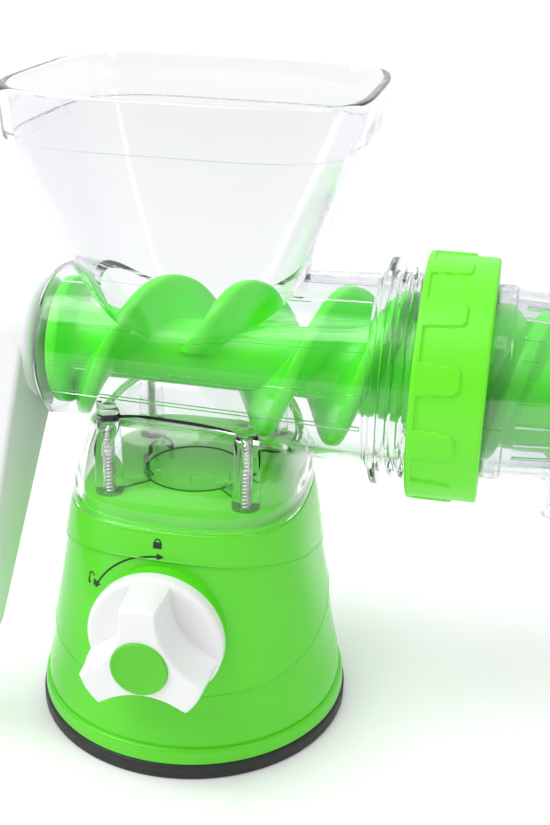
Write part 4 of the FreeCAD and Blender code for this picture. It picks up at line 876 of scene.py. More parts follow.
barrel_outline = [(BARREL_BACK_X, 0.01), (BARREL_BACK_X, 12.0), (BARREL_BACK_X, 20.0)]
barrel_outline += [
    (BARREL_BACK_X + BARREL_ROUND * (1.0 - math.cos(a)), BARREL_BACK_R - BARREL_ROUND * (1.0 - math.sin(a)))
    for a in [math.radians(10 * k) for k in range(10)]
]
back_x = BARREL_BACK_X + BARREL_ROUND
BARREL_TAPER = (BARREL_STEP_R - BARREL_BACK_R) / (BARREL_STEP_X - BARREL_BACK_X)
barrel_outline += [
    (x, BARREL_BACK_R + BARREL_TAPER * (x - BARREL_BACK_X))
    for x in [back_x + (BARREL_STEP_X - back_x) * k / 24.0 for k in range(1, 25)]
]
barrel_outline += [(BARREL_STEP_X + 0.5, BARREL_STEP_R + 0.4), (BARREL_STEP_X + 1.2, THREAD_ROOT_R - 0.2)]
barrel_outline += [(STOP_FLANGE_X - 0.6, THREAD_ROOT_R), (STOP_FLANGE_X, THREAD_ROOT_R + 0.5)]
barrel_outline += rounded_corner(STOP_FLANGE_X + 0.7, STOP_FLANGE_R - 0.7, 0.7, 180, 90, 4)
barrel_outline += rounded_corner(
    STOP_FLANGE_X + STOP_FLANGE_THICK - 0.7, STOP_FLANGE_R - 0.7, 0.7, 90, 0, 4
)
barrel_outline += [(STOP_FLANGE_X + STOP_FLANGE_THICK, THREAD_ROOT_R + 0.5)]
barrel_outline += [(STOP_FLANGE_X + STOP_FLANGE_THICK + 0.5, THREAD_ROOT_R)]
thread_x = THREAD_START_X - 1.0
while thread_x < BARREL_END_X - 0.6:
    barrel_outline.append((thread_x, THREAD_ROOT_R))
    thread_x += 0.4
barrel_outline += [(BARREL_END_X - 0.5, THREAD_ROOT_R), (BARREL_END_X, THREAD_ROOT_R - 0.5)]
barrel_outline.append((BARREL_END_X, 0.01))
BARREL_COLUMNS = 144
barrel_points = []
for x, r in barrel_outline:
    for j in range(BARREL_COLUMNS):
        angle = 2.0 * math.pi * j / BARREL_COLUMNS
        radius = r
        if r == THREAD_ROOT_R and x > THREAD_START_X - 1.1:
            radius += THREAD_HEIGHT * thread_bump(x, angle, THREAD_START_X, THREAD_TURNS)
        barrel_points.append((x, radius * math.cos(angle), AXIS_Z + radius * math.sin(angle)))
body = new_object("clear_body", barrel_points, ring_faces(len(barrel_outline), BARREL_COLUMNS), clear_body)


def funnel_ring(row, inset, columns=160):
    z, half_x, half_y, power, centre = row
    ring = []
    for j in range(columns):
        angle = 2.0 * math.pi * j / columns
        r = squared_radius(half_x - inset, half_y - inset, power, angle)
        ring.append((centre + r * math.cos(angle), r * math.sin(angle), z))
    return ring


def funnel_row(z):
    return (z,) + tuple(smooth_between(FUNNEL_SHAPE, z, column) for column in (1, 2, 3, 4))


def between_rows(low, high, t):
    return tuple(a + (b - a) * t for a, b in zip(low, high))


funnel_points = []
rings = 0
for i in range(31):
    funnel_points += funnel_ring(funnel_row(150.0 + 92.2 * i / 30.0), 0.0)
    rings += 1
for turn in (0, 30, 60, 90):
    angle = math.radians(turn)
    row = (FUNNEL_BAND_LOW[0] + 0.5 * (1.0 - math.cos(angle)),) + FUNNEL_BAND_LOW[1:]
    funnel_points += funnel_ring(row, 0.6 * (1.0 - math.sin(angle)))
    rings += 1
for t in (0.2, 0.5, 0.8, 0.93):
    funnel_points += funnel_ring(between_rows(FUNNEL_BAND_LOW, FUNNEL_TOP, t), 0.0)
    rings += 1
for turn in (0, 30, 60, 90):
    angle = math.radians(turn)
    row = (FUNNEL_TOP[0] - 1.0 + 1.0 * math.sin(angle),) + FUNNEL_TOP[1:]
    funnel_points += funnel_ring(row, 1.0 * (1.0 - math.cos(angle)))
    rings += 1
combine(body, new_object("funnel", funnel_points, ring_faces(rings, 160), clear_body), "UNION")


def skirt_solid(name, inset, low_z, drop, band):
    """The skirt's outside, or its hollow when inset by the wall."""
    points = []
    count = 0
    steps = [low_z] + [101.0 + 39.9 * k / 26.0 for k in range(27)]
    for z in steps:
        half = smooth_between(SKIRT_SHAPE, z) - inset
        if band and z < SKIRT_BAND_Z:
            half += 0.5
        for j in range(160):
            angle = 2.0 * math.pi * j / 160
            r = squared_radius(half, half, SKIRT_POWER, angle)
            points.append((r * math.cos(angle), r * math.sin(angle), z - drop))
        count += 1
    return new_object(name, points, ring_faces(count, 160), clear_body)


skirt = skirt_solid("skirt", 0.0, 100.0, 0.0, True)
combine(skirt, skirt_solid("skirt_hollow", SKIRT_WALL, 97.0, 2.0, False), "DIFFERENCE")
combine(body, skirt, "UNION")

for x, y in POST_PLACES:
    post = rod("post", POST_R + 0.5, PLATEAU_Z, 143.0, clear_body, axis="z", centre=(x, y), columns=48,
               end_radius=POST_R - 0.6)
    combine(body, post, "UNION")
ring = rod("key_ring", KEY_RING_R, PLATEAU_Z, PLATEAU_Z + KEY_RING_HEIGHT, clear_body, axis="z")
combine(ring, rod("ring_hole", KEY_RING_R - KEY_RING_WALL, PLATEAU_Z - 1.0, PLATEAU_Z + KEY_RING_HEIGHT + 1.0,
                  clear_body, axis="z"), "DIFFERENCE")


def slab(name, size, centre, turn, material):
    """Block turned about the vertical, used for ribs and notches."""
    points = []
    for dx, dy, dz in [(a, b, c) for a in (-1, 1) for b in (-1, 1) for c in (-1, 1)]:
        x = centre[0] + dx * size[0] / 2.0
        y = centre[1] + dy * size[1] / 2.0
        points.append((
            x * math.cos(turn) - y * math.sin(turn), x * math.sin(turn) + y * math.cos(turn),
            centre[2] + dz * size[2] / 2.0,
        ))
    faces = [(0, 1, 3, 2), (4, 6, 7, 5), (0, 4, 5, 1), (2, 3, 7, 6), (0, 2, 6, 4), (1, 5, 7, 3)]
    return new_object(name, points, faces, material)


for i in range(8):
    notch_place = (KEY_RING_R, 0.0, PLATEAU_Z + 5.0)
    notch = slab("notch", (10.0, 7.0, 4.0), notch_place, math.radians(45.0 * i), clear_body)
    combine(ring, notch, "DIFFERENCE")
for x, y in POST_PLACES:
    reach = math.hypot(x, y)
    rib = slab("rib", (reach - KEY_RING_R, 1.8, 3.0), ((reach + KEY_RING_R - 1.5) / 2.0, 0.0, PLATEAU_Z + 1.5),
               math.atan2(y, x), clear_body)
    combine(ring, rib, "UNION")
combine(body, ring, "UNION")

# The bore, with its shallow score lines, and the funnel's inside are one hollow.
bore_angles = [2.0 * math.pi * j / 120 for j in range(120)]
for degrees in SCORE_ANGLES:
    for offset in (-0.85, -0.8, 0.8, 0.85):
        bore_angles.append(math.radians(degrees) % (2.0 * math.pi) + offset * SCORE_HALF / 0.8 / 30.0)
bore_angles = sorted(angle % (2.0 * math.pi) for angle in bore_angles)
bore_xs = [BARREL_BACK_X + BARREL_BACK_WALL, -49.6, -49.4, -20.0, 10.0, 40.0, 69.0, 69.2, BORE_FRONT_X]
bore_xs += [95.0, BARREL_END_X + 1.0]
bore_points = []
for number, x in enumerate(bore_xs):
    for angle in bore_angles:
        radius = bore_radius(x)
        scored = -49.5 < x < 69.1
        for degrees in SCORE_ANGLES:
            gap = abs((angle - math.radians(degrees) + math.pi) % (2.0 * math.pi) - math.pi) * 30.0
            if scored and gap < SCORE_HALF + 0.02:
                radius += SCORE_DEPTH
        bore_points.append((x, radius * math.cos(angle), AXIS_Z + radius * math.sin(angle)))
hollow = new_object("hollow", bore_points, ring_faces(len(bore_xs), len(bore_angles)), clear_body)
inside_points = []
rings = 0
for i in range(31):
    row = funnel_row(150.0 + 92.0 * i / 30.0)
    inside_points += funnel_ring(row, FUNNEL_WALL)
    rings += 1
for t in (0.2, 0.5, 0.8, 0.94):
    row = between_rows(FUNNEL_BAND_LOW, FUNNEL_TOP, t)
    inside_points += funnel_ring(row, FUNNEL_BAND_WALL)
    rings += 1
for turn in (30, 60, 90):
    angle = math.radians(turn)
    row = (FUNNEL_TOP[0] - 1.0 + 1.0 * math.sin(angle),) + FUNNEL_TOP[1:]
    inside_points += funnel_ring(row, FUNNEL_BAND_WALL - 1.0 * (1.0 - math.cos(angle)))
    rings += 1
inside_points += funnel_ring((FUNNEL_TOP[0] + 2.0,) + FUNNEL_TOP[1:], FUNNEL_BAND_WALL - 1.0)
rings += 1
combine(hollow, new_object("funnel_inside", inside_points, ring_faces(rings, 160), clear_body), "UNION")
combine(body, hollow, "DIFFERENCE")
combine(body, rod("bush_way", 10.0, BARREL_BACK_X - 1.0, BARREL_BACK_X + 4.0, clear_body, axis="x",
                  centre=(0.0, AXIS_Z)), "DIFFERENCE")
for x, y in POST_PLACES:
    combine(body, rod("screw_way", 1.92, PLATEAU_Z - 1.0, 133.3, clear_body, axis="z", centre=(x, y),
                      columns=32), "DIFFERENCE")
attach(body, "frame")
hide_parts("housing")

# --- body screws ---
# Four long zinc-plated self-tapping screws hold the clear body to the base.  Their
# heads are under the base's top plate and their threads show inside the clear posts.
SCREW_R = 1.9
SCREW_CORE_R = 1.35
SCREW_PITCH = 1.5
SCREW_TIP_Z = 133.0
SCREW_HEAD_R = 4.0


def screw_solid(x, y, seat_z):
    """One screw with a rolled thread, as points and faces."""
    columns = 24
    outline = [(seat_z - 2.4, 0.01), (seat_z - 2.4, 2.6), (seat_z - 1.6, 3.7), (seat_z - 0.4, SCREW_HEAD_R)]
    outline += [(seat_z, SCREW_HEAD_R), (seat_z, SCREW_R)]
    z = seat_z + 4.0
    while z < SCREW_TIP_Z - 2.0:
        outline.append((z, None))
        z += 0.25
    outline += [(SCREW_TIP_Z - 1.0, 0.8), (SCREW_TIP_Z, 0.05)]
    points = []
    for along, radius in outline:
        for j in range(columns):
            angle = 2.0 * math.pi * j / columns
            r = radius
            if r is None:
                phase = (along / SCREW_PITCH - angle / (2.0 * math.pi)) % 1.0
                r = SCREW_CORE_R + (SCREW_R - SCREW_CORE_R) * max(0.0, 1.0 - abs(phase - 0.5) * 3.4)
            points.append((x + r * math.cos(angle), y + r * math.sin(angle), along))
    return points, ring_faces(len(outline), columns)


zinc, nodes, links, shader = new_material("zinc_plate")
shader.inputs["Metallic"].default_value = 1.0
links.new(between_colours(nodes, links, noise_at(nodes, links, 0.002, 4.0), (0.55, 0.53, 0.50),
                          (0.72, 0.71, 0.68)), shader.inputs["Base Color"])
links.new(spread(nodes, links, noise_at(nodes, links, 0.001), 0.22, 0.36), shader.inputs["Roughness"])
screws = joined([screw_solid(x, y, PLATEAU_Z - PLATE_THICK) for x, y in POST_PLACES])
body_screws = new_object("body_screws_rolled", screws[0], screws[1], zinc)
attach(body_screws, "frame")
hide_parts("body_screws")

# --- rear bearing and drive shaft ---
# A white acetal bush in the back of the barrel, a silicone seal in front of it, and a
# hexagonal steel shaft moulded into the auger.
# The milky silicone's darker edge colour is painted edge shade.
silicone = clear_plastic("milky_silicone", (0.80, 0.82, 0.82), 0.28, (0.74, 0.76, 0.77))
refinish("rear_bush", white_acetal)
refinish("rear_seal", silicone)
refinish("barrel_seal", silicone)
refinish("drive_shaft", steel)

# --- crank ---
# A tapered white arm with a thick round hub, held to the shaft by a large flat screw
# on a washer, and a turning green grip on a steel pin at its lower end.
CRANK_HUB_R = 24.0
CRANK_INNER_X = -59.6
CRANK_OUTER_X = -73.5
CRANK_ARM_INNER_X = -62.5
CRANK_REACH = 108.0
CRANK_END_R = 12.0
CRANK_LEAN = math.radians(-35.0)
CRANK_EDGE = 2.2
CRANK_COLUMNS = 120


def leaned(x, y, z):
    """Turns a point about the barrel axis with the crank."""
    up = z - AXIS_Z
    return (
        x, y * math.cos(CRANK_LEAN) - up * math.sin(CRANK_LEAN),
        AXIS_Z + y * math.sin(CRANK_LEAN) + up * math.cos(CRANK_LEAN),
    )


def arm_ring(x, inset):
    """Outline of the tapered arm, drawn in by the inset."""
    ring = []
    taper = (CRANK_HUB_R - CRANK_END_R) / CRANK_REACH
    for j in range(CRANK_COLUMNS):
        angle = 2.0 * math.pi * j / CRANK_COLUMNS
        across, down = math.cos(angle), math.sin(angle)
        if down > taper:
            r, centre = CRANK_END_R - inset, AXIS_Z - CRANK_REACH
        else:
            r, centre = CRANK_HUB_R - 1.0 - inset, AXIS_Z
        ring.append(leaned(x, r * across, centre - r * down))
    return ring


crank_white = moulded("satin_white_abs", (0.86, 0.865, 0.87), (0.84, 0.845, 0.85), 0.42, ripple_size=0.02)
arm_rows = []
for turn in (0, 22, 45, 68, 90):
    angle = math.radians(turn)
    drawn_in = CRANK_EDGE * (1.0 - math.sin(angle))
    arm_rows.append((CRANK_ARM_INNER_X - CRANK_EDGE * (1.0 - math.cos(angle)), drawn_in))
for turn in (90, 68, 45, 22, 0):
    angle = math.radians(turn)
    drawn_in = CRANK_EDGE * (1.0 - math.sin(angle))
    arm_rows.append((CRANK_OUTER_X + CRANK_EDGE * (1.0 - math.cos(angle)), drawn_in))
arm_points = []
for x, inset in arm_rows:
    arm_points += arm_ring(x, inset)
crank = new_object("crank_handle", arm_points, ring_faces(len(arm_rows), CRANK_COLUMNS), crank_white)
hub_outline = [(CRANK_INNER_X, 0.01), (CRANK_INNER_X, CRANK_HUB_R - 4.0)]
hub_outline += rounded_corner(CRANK_INNER_X - 3.0, CRANK_HUB_R - 3.0, 3.0, 0, 90)
hub_outline += rounded_corner(CRANK_OUTER_X + 1.5, CRANK_HUB_R - 1.5, 1.5, 90, 180)
hub_outline += [(CRANK_OUTER_X, 0.01)]
hub = turned("hub", hub_outline, crank_white, axis="x", looped=False, centre=(0.0, AXIS_Z))
combine(crank, hub, "UNION")
combine(crank, rod("pin_way", 4.0, CRANK_OUTER_X - 1.0, CRANK_ARM_INNER_X + 1.0, crank_white, axis="x",
                   centre=leaned(0.0, 0.0, AXIS_Z - CRANK_REACH)[1:], columns=48), "DIFFERENCE")
combine(crank, rod("shaft_way", 6.45, -70.2, CRANK_INNER_X + 1.0, crank_white, axis="x",
                   centre=(0.0, AXIS_Z), columns=48), "DIFFERENCE")
combine(crank, rod("screw_way", 3.2, CRANK_OUTER_X - 1.0, -69.0, crank_white, axis="x",
                   centre=(0.0, AXIS_Z), columns=48), "DIFFERENCE")
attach(crank, "auger_crank")
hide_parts("crank_arm")
for node in ("crank_washer", "crank_screw", "grip_pin"):
    refinish(node, steel)
refinish("grip_washer", white_acetal)

GRIP_INNER_X = -75.0
GRIP_LENGTH = 76.0
GRIP_SHAPE = [
    (0.0, 10.5), (4.0, 12.5), (22.0, 11.2), (46.0, 12.8), (66.0, 13.4), (73.0, 12.2), (76.0, 9.0),
]
GRIP_BORE_R = 4.05
GRIP_RECESS_R = 6.6
grip_outline = [(GRIP_INNER_X, GRIP_BORE_R), (GRIP_INNER_X, 9.4), (GRIP_INNER_X - 0.25, 10.2)]
distance = 0.8
while distance < GRIP_LENGTH - 1.6:
    r = smooth_between(GRIP_SHAPE, distance)
    if 12.0 < distance < 62.0:
        r -= 0.45 * max(0.0, 1.0 - abs((distance % 7.0) - 3.5) / 0.9)
    grip_outline.append((GRIP_INNER_X - distance, r))
    distance += 0.45
grip_outline += [
    (GRIP_INNER_X - GRIP_LENGTH + 0.9, 10.4), (GRIP_INNER_X - GRIP_LENGTH + 0.2, 9.4),
    (GRIP_INNER_X - GRIP_LENGTH, 8.6), (GRIP_INNER_X - GRIP_LENGTH, GRIP_RECESS_R + 0.3),
    (GRIP_INNER_X - GRIP_LENGTH + 0.3, GRIP_RECESS_R), (GRIP_INNER_X - GRIP_LENGTH + 6.1, GRIP_RECESS_R),
    (GRIP_INNER_X - GRIP_LENGTH + 6.1, GRIP_BORE_R),
]
grip = turned("crank_grip_sleeve", grip_outline, lime_green, axis="x", columns=96,
              centre=leaned(0.0, 0.0, AXIS_Z - CRANK_REACH)[1:])
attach(grip, "crank_grip")
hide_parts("grip")

# --- auger ---
# The squeezing screw, moulded in green nylon: a core that thickens towards the outlet
# and two left-handed flights that rise from it with filleted roots and rounded crests.
AUGER_DISC_R = 25.0
AUGER_DISC_X = -53.0
AUGER_CORE = [
    (-52.5, 15.2), (-40.0, 13.6), (20.0, 13.6), (48.0, 13.9),
    (66.0, 17.4), (84.0, 19.8), (104.0, 22.2), (125.0, 24.6),
    (146.0, 23.6), (160.0, 20.8), (171.0, 14.6), (178.0, 9.0),
]
AUGER_REACH = [
    (-60.0, 28.6), (-50.0, 28.7), (20.0, 29.9), (75.0, 31.0),
    (104.0, 30.2), (118.0, 29.3), (140.0, 27.9), (160.0, 25.6), (175.0, 18.0),
]
FLIGHTS = [
    ((-47.0, -14.0, 25.0, 57.0, 87.0, 114.0, 139.0, 161.0), 0.0, 6.6, math.radians(270.0), 2.0),
    ((17.0, 52.0, 80.0, 107.0, 132.0, 155.0), -0.4, 4.7, math.radians(90.0), 6.0),
]
FLIGHT_ROOT_HALF = 5.25
FLIGHT_SECTION = [       # share of the half thickness at the root, share of the height
    (1.55, -0.16), (1.32, 0.02), (1.12, 0.12), (0.96, 0.26), (0.84, 0.45), (0.70, 0.68), (0.58, 0.84),
    (0.50, 0.93), (0.38, 0.98), (0.16, 1.0),
]
FLIGHT_TURN_STEP = 6.0


def station_x(stations, half_turns):
    """Place along the barrel after a number of half turns."""
    count = len(stations)
    low = max(0, min(count - 2, int(math.floor(half_turns))))
    t = half_turns - low
    x0, x1 = stations[low], stations[low + 1]
    before = stations[low - 1] if low > 0 else 2 * x0 - x1
    after = stations[low + 2] if low + 2 < count else 2 * x1 - x0
    if half_turns < 0:
        return x0 + (x1 - x0) * half_turns
    return (
        x0 * (2 * t ** 3 - 3 * t ** 2 + 1) + (x1 - before) / 2 * (t ** 3 - 2 * t ** 2 + t)
        + x1 * (3 * t ** 2 - 2 * t ** 3) + (after - x0) / 2 * (t ** 3 - t ** 2)
    )


auger_green = moulded("auger_green_nylon", (0.07, 0.86, 0.008), (0.085, 0.88, 0.012), 0.24, ripple=0.00005)
core_outline = [(AUGER_CORE[0][0], 0.01)]
for k in range(120):
    x = AUGER_CORE[0][0] + (AUGER_CORE[-1][0] - AUGER_CORE[0][0]) * k / 119.0
    core_outline.append((x, smooth_between(AUGER_CORE, x)))
core_outline += [(178.4, 5.6), (178.8, 5.0), (189.2, 5.0), (190.0, 4.2), (190.0, 0.01)]
auger = turned("feed_auger", core_outline, auger_green, axis="x", looped=False,
               centre=(0.0, AXIS_Z), columns=96)
disc_outline = [(-59.0, 0.01), (-59.0, 7.4), (-58.4, 8.0), (-53.0, 8.0)]
disc_outline += rounded_corner(AUGER_DISC_X + 1.0, AUGER_DISC_R - 1.0, 1.0, 180, 90, 3)
disc_outline += rounded_corner(AUGER_DISC_X + 3.5, AUGER_DISC_R - 1.0, 1.0, 90, 0, 3)
disc_outline += [(AUGER_DISC_X + 4.5, 16.5), (AUGER_DISC_X + 6.0, 15.0), (AUGER_DISC_X + 8.0, 13.0),
                 (AUGER_DISC_X + 8.0, 0.01)]
combine(auger, turned("disc", disc_outline, auger_green, axis="x", looped=False, centre=(0.0, AXIS_Z),
                      columns=96), "UNION")
for stations, start, end, first_angle, fade_in in FLIGHTS:
    steps = int(round((end - start) * 180.0 / FLIGHT_TURN_STEP))
    scale = 15.0 / FLIGHT_TURN_STEP
    flight_points = []
    for i in range(steps + 1):
        turn = start + (end - start) * i / steps
        x = station_x(stations, turn)
        angle = first_angle - math.pi * turn
        core = smooth_between(AUGER_CORE, x)
        full = smooth_between(AUGER_REACH, x)
        rise = min(1.0, (i / scale + 1.0) / fade_in, ((steps - i) / scale + 1.0) / 5.0)
        top = core + 0.5 + (full - core - 0.5) * math.sin(rise * math.pi / 2.0)
        section = [(-dx, h) for dx, h in FLIGHT_SECTION] + [(dx, h) for dx, h in reversed(FLIGHT_SECTION)]
        for share, h in section:
            r = core + (top - core) * h if h > 0 else core + h * 12.0
            flight_points.append((
                x + share * FLIGHT_ROOT_HALF, r * math.cos(angle), AXIS_Z + r * math.sin(angle)
            ))
    flight = new_object("flight", flight_points, ring_faces(steps + 1, 2 * len(FLIGHT_SECTION)), auger_green,
                        crease=50.0)
    combine(auger, flight, "UNION", crease=48.0)
combine(auger, rod("shaft_way", 6.35, -60.0, -28.0, auger_green, axis="x", centre=(0.0, AXIS_Z), columns=6),
        "DIFFERENCE", crease=48.0)
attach(auger, "auger_crank")
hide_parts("auger")

# --- ring nut ---
# The big green nut that clamps the juice head to the barrel: a broad band moulded with
# a collar on its barrel side and twelve raised finger tabs that run across from it.
NUT_X = 87.0
NUT_END_X = 113.0
NUT_R = 45.9
NUT_TABS = 12
NUT_TAB_TURN = math.radians(100.7)
NUT_TAB_RISE = 0.9
NUT_TAB_LENGTH = 17.0
NUT_TAB_HALF = 6.0
NUT_TAB_TIP_HALF = 4.5
NUT_TAB_CORNER = 2.4
NUT_BAND = 2.6
NUT_RAMP = 0.42
NUT_LIP_X = 109.5
NUT_LIP_BORE_R = 37.0
NUT_EDGE = 1.1
NUT_MAJOR_R = THREAD_ROOT_R + THREAD_HEIGHT + 0.4
NUT_THREAD_START_X = 91.5
NUT_THREAD_TURNS = 3.0


def tab_height(x, angle):
    """How far the nut's skin is raised by its collar and tabs, 0 to 1."""
    pitch = 2.0 * math.pi / NUT_TABS
    across = abs((angle - NUT_TAB_TURN + pitch / 2.0) % pitch - pitch / 2.0) * NUT_R
    along = x - NUT_X
    half = NUT_TAB_HALF - (NUT_TAB_HALF - NUT_TAB_TIP_HALF) * along / NUT_TAB_LENGTH
    over_side = across - half + NUT_TAB_CORNER
    over_end = along - NUT_TAB_LENGTH + NUT_TAB_CORNER
    edge = math.hypot(max(0.0, over_side), max(0.0, over_end)) + min(0.0, max(over_side, over_end))
    edge = min(edge - NUT_TAB_CORNER, along - NUT_BAND)
    t = max(0.0, min(1.0, 0.5 - edge / NUT_RAMP))
    return t * t * (3.0 - 2.0 * t)


sector_angles = []
for k in range(-15, 16):
    sector_angles.append(k * 0.5 / NUT_R)
for k in range(1, 6):
    sector_angles.append((7.5 + 1.5 * k) / NUT_R)
sector_angles += [-(7.5 + 1.5 * k) / NUT_R for k in range(1, 6)]
nut_angles = sorted(
    (NUT_TAB_TURN + 2.0 * math.pi * tab / NUT_TABS + offset) % (2.0 * math.pi)
    for tab in range(NUT_TABS) for offset in sector_angles
)
nut_rows = [
    (NUT_X + NUT_EDGE * (1.0 - math.cos(a)), NUT_R - NUT_EDGE * (1.0 - math.sin(a)), 1)
    for a in [math.radians(18 * k) for k in range(6)]
]
x = NUT_X + NUT_EDGE + 0.3
while x < NUT_X + NUT_TAB_LENGTH + 1.2:
    nut_rows.append((x, NUT_R, 1))
    x += 0.42
nut_rows += [(x, NUT_R, 0), (x + 2.0, NUT_R, 0), (NUT_END_X - NUT_EDGE - 0.5, NUT_R, 0)]
nut_rows += [
    (NUT_END_X - NUT_EDGE * (1.0 - math.cos(a)), NUT_R - NUT_EDGE * (1.0 - math.sin(a)), 0)
    for a in [math.radians(18 * k) for k in range(5, -1, -1)]
]
nut_rows += [(NUT_END_X, 41.0, 0), (NUT_END_X, NUT_LIP_BORE_R + 0.4, 0)]
nut_rows.append((NUT_END_X - 0.4, NUT_LIP_BORE_R, 0))
nut_rows += [(NUT_LIP_X, NUT_LIP_BORE_R, 0), (NUT_LIP_X, NUT_MAJOR_R, 0)]
x = NUT_LIP_X - 0.4
while x > NUT_X + 0.6:
    nut_rows.append((x, NUT_MAJOR_R, 2))
    x -= 0.5
nut_rows += [(NUT_X + 0.5, NUT_MAJOR_R, 0), (NUT_X, NUT_MAJOR_R + 0.5, 0), (NUT_X, 43.0, 0)]
nut_points = []
for x, r, kind in nut_rows:
    for angle in nut_angles:
        radius = r
        if kind == 1:
            radius += NUT_TAB_RISE * tab_height(x, angle)
        elif kind == 2:
            radius -= THREAD_HEIGHT * thread_bump(x, angle, NUT_THREAD_START_X, NUT_THREAD_TURNS)
        nut_points.append((x, radius * math.cos(angle), AXIS_Z + radius * math.sin(angle)))
nut_green = moulded("nut_green_abs", (0.16, 0.84, 0.02), (0.14, 0.80, 0.018), 0.34)
ring_nut = new_object("ring_nut_band", nut_points, ring_faces(len(nut_rows), len(nut_angles), looped=True),
                      nut_green, crease=40.0)
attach(ring_nut, "nut")
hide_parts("ring_nut")

# --- juice head ---
# The clear cap that the nut clamps on: a collar whose moulded arrows are drawn as four
# short raised ribs, a tapering shell with the juice spout underneath, and a nozzle for
# the pulp at its end.  A slotted clear strainer sits inside it, and an acetal spider
# carries the auger's tip.
HEAD_FLANGE_X = 105.4
HEAD_FLANGE_THICK = 4.0
HEAD_FLANGE_R = 40.1
HEAD_COLLAR_R = 36.5
HEAD_COLLAR_END_X = 120.0
HEAD_SHAPE = [(120.4, 35.6), (135.0, 34.6), (158.0, 33.0), (168.0, 28.0), (177.0, 16.0)]
HEAD_BORE = [(118.0, 33.4), (135.0, 32.4), (157.0, 30.8), (166.5, 25.8), (176.0, 13.6)]
HEAD_SOCKET_R = 34.2
NOZZLE_R = 16.0
NOZZLE_BORE_R = 13.6
NOZZLE_END_X = 200.0
NOZZLE_WALL_X = 197.0
NOZZLE_BEAD_X = 194.5
SPOUT_X = 146.0
SPOUT_BOTTOM_Z = 104.0
PORT_HALF = math.radians(35.0)

head_outline = [(HEAD_FLANGE_X, HEAD_SOCKET_R), (HEAD_FLANGE_X, HEAD_FLANGE_R - 0.5)]
head_outline += [(HEAD_FLANGE_X + 0.5, HEAD_FLANGE_R)]
flange_end = HEAD_FLANGE_X + HEAD_FLANGE_THICK
head_outline += [(flange_end - 0.5, HEAD_FLANGE_R), (flange_end, HEAD_FLANGE_R - 0.5)]
head_outline += [(flange_end, HEAD_COLLAR_R + 0.5), (flange_end + 0.5, HEAD_COLLAR_R)]
head_outline += [(HEAD_COLLAR_END_X - 0.8, HEAD_COLLAR_R), (HEAD_COLLAR_END_X - 0.2, HEAD_COLLAR_R - 0.2)]
head_outline += [(HEAD_COLLAR_END_X, HEAD_COLLAR_R - 0.6)]
for k in range(41):
    x = HEAD_SHAPE[0][0] + (HEAD_SHAPE[-1][0] - HEAD_SHAPE[0][0]) * k / 40.0
    head_outline.append((x, smooth_between(HEAD_SHAPE, x)))
head_outline += [(NOZZLE_BEAD_X, NOZZLE_R), (NOZZLE_BEAD_X + 0.5, NOZZLE_R + 0.5)]
head_outline += [(NOZZLE_BEAD_X + 1.0, NOZZLE_R + 0.5), (NOZZLE_BEAD_X + 1.5, NOZZLE_R)]
head_outline += [(NOZZLE_END_X - 0.6, NOZZLE_R), (NOZZLE_END_X, NOZZLE_R - 0.6), (NOZZLE_END_X, 5.0)]
head_outline += [(NOZZLE_END_X, 0.02), (NOZZLE_WALL_X, 0.02), (NOZZLE_WALL_X, NOZZLE_BORE_R - 0.4)]
head_outline += [(NOZZLE_WALL_X - 0.4, NOZZLE_BORE_R)]
for k in range(40, -1, -1):
    x = HEAD_BORE[0][0] + (HEAD_BORE[-1][0] - HEAD_BORE[0][0]) * k / 40.0
    head_outline.append((x, smooth_between(HEAD_BORE, x)))
head_outline += [(HEAD_BORE[0][0], HEAD_SOCKET_R)]
head = turned("clear_juice_head", head_outline, clear_body, axis="x", columns=160, centre=(0.0, AXIS_Z))


def port(name, middle):
    """Kidney-shaped cutter for the pulp ports."""
    points = []
    for x in (NOZZLE_WALL_X - 1.0, NOZZLE_END_X + 6.0):
        for i in range(13):
            angle = middle - PORT_HALF + 2.0 * PORT_HALF * i / 12.0
            points.append((x, 12.6 * math.cos(angle), AXIS_Z + 12.6 * math.sin(angle)))
        for i in range(13):
            angle = middle + PORT_HALF - 2.0 * PORT_HALF * i / 12.0
            points.append((x, 5.5 * math.cos(angle), AXIS_Z + 5.5 * math.sin(angle)))
    return new_object(name, points, ring_faces(2, 26), clear_body)


spout = rod("spout", 9.0, SPOUT_BOTTOM_Z, AXIS_Z - 26.0, clear_body, axis="z", centre=(SPOUT_X, 0.0),
            columns=64, end_radius=10.0)
bowl = turned("bowl", [(x, r) for x, r in head_outline[-42:-1]][::-1] + [(176.0, 0.02), (118.0, 0.02)],
              clear_body, axis="x", columns=96, centre=(0.0, AXIS_Z))
combine(spout, bowl, "DIFFERENCE")
combine(head, spout, "UNION")
combine(head, rod("drain", 7.0, SPOUT_BOTTOM_Z - 1.0, AXIS_Z - 18.0, clear_body, axis="z",
                  centre=(SPOUT_X, 0.0), columns=64), "DIFFERENCE")
for side in (0.0, math.pi):
    combine(head, port("port", side), "DIFFERENCE")
for degrees in (150.0, 185.0, 330.0, 10.0):
    angle = math.radians(degrees)
    rib = slab("rib", (10.0, 1.2, 1.5), (flange_end + 5.3, 0.0, HEAD_COLLAR_R - 0.25), 0.0, clear_body)
    rib.data.transform(Matrix.Rotation(angle - math.pi / 2.0, 4, "X"))
    rib.data.transform(Matrix.Translation((0.0, 0.0, AXIS_Z / 1000.0)))
    combine(head, rib, "UNION")
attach(head, "juice_head")
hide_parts("outlet_head")
# The strainer's darker edge colour is painted edge shade.
strainer_clear = clear_plastic("strainer_clear", (0.93, 0.95, 0.95), 0.05, (0.86, 0.90, 0.92))
refinish("strainer", strainer_clear)
refinish("front_bearing", white_acetal)

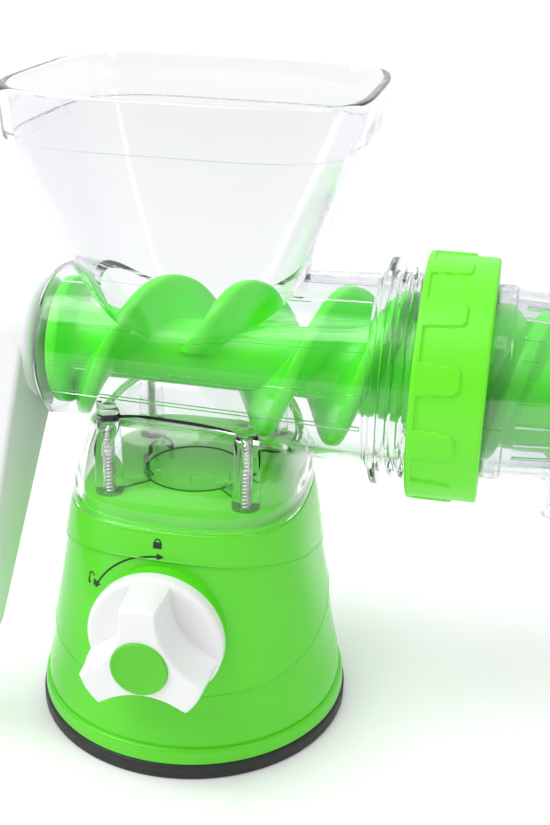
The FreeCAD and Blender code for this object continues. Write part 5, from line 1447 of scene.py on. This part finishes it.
# --- pulp regulator ---
# A green cap that turns on the nozzle behind a snap bead: its two ports line up with
# the nozzle's or close them, and two small wings give a hold.
REGULATOR_R = 19.5
REGULATOR_X = 191.0
REGULATOR_END_X = 204.5
REGULATOR_WALL_X = 200.2
regulator_outline = [(REGULATOR_X, NOZZLE_R + 0.05), (REGULATOR_X, REGULATOR_R - 1.2)]
regulator_outline += rounded_corner(REGULATOR_X + 1.2, REGULATOR_R - 1.2, 1.2, 180, 90, 4)
for k in range(23):
    x = REGULATOR_X + 1.6 + 0.45 * k
    regulator_outline.append((x, REGULATOR_R - (0.25 if k % 4 in (1, 2) else 0.0)))
regulator_outline += rounded_corner(REGULATOR_END_X - 1.2, REGULATOR_R - 1.2, 1.2, 90, 0, 4)
regulator_outline += [(REGULATOR_END_X, 4.0), (REGULATOR_END_X, 0.02), (REGULATOR_WALL_X, 0.02)]
regulator_outline += [(REGULATOR_WALL_X, NOZZLE_R + 0.05), (NOZZLE_BEAD_X + 1.8, NOZZLE_R + 0.05)]
regulator_outline += [(NOZZLE_BEAD_X + 1.8, NOZZLE_R + 0.55), (NOZZLE_BEAD_X - 0.3, NOZZLE_R + 0.55)]
regulator_outline += [(NOZZLE_BEAD_X - 0.3, NOZZLE_R + 0.05)]
regulator = turned("pulp_cap", regulator_outline, lime_green, axis="x", columns=144, centre=(0.0, AXIS_Z))
for side in (1.0, -1.0):
    wing_place = (REGULATOR_X + 7.0, 0.0, side * (REGULATOR_R + 3.2))
    wing = slab("wing", (10.0, 4.4, 9.6), wing_place, 0.0, lime_green)
    wing.data.transform(Matrix.Translation((0.0, 0.0, AXIS_Z / 1000.0)))
    edge = wing.modifiers.new("edge", "BEVEL")
    edge.width = 0.0012
    edge.segments = 3
    rounded = bpy.data.meshes.new_from_object(wing.evaluated_get(bpy.context.evaluated_depsgraph_get()))
    wing.modifiers.clear()
    wing.data = rounded
    combine(regulator, wing, "UNION")
for side in (0.0, math.pi):
    combine(regulator, port("port", side), "DIFFERENCE")
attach(regulator, "regulator")
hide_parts("pulp_regulator")
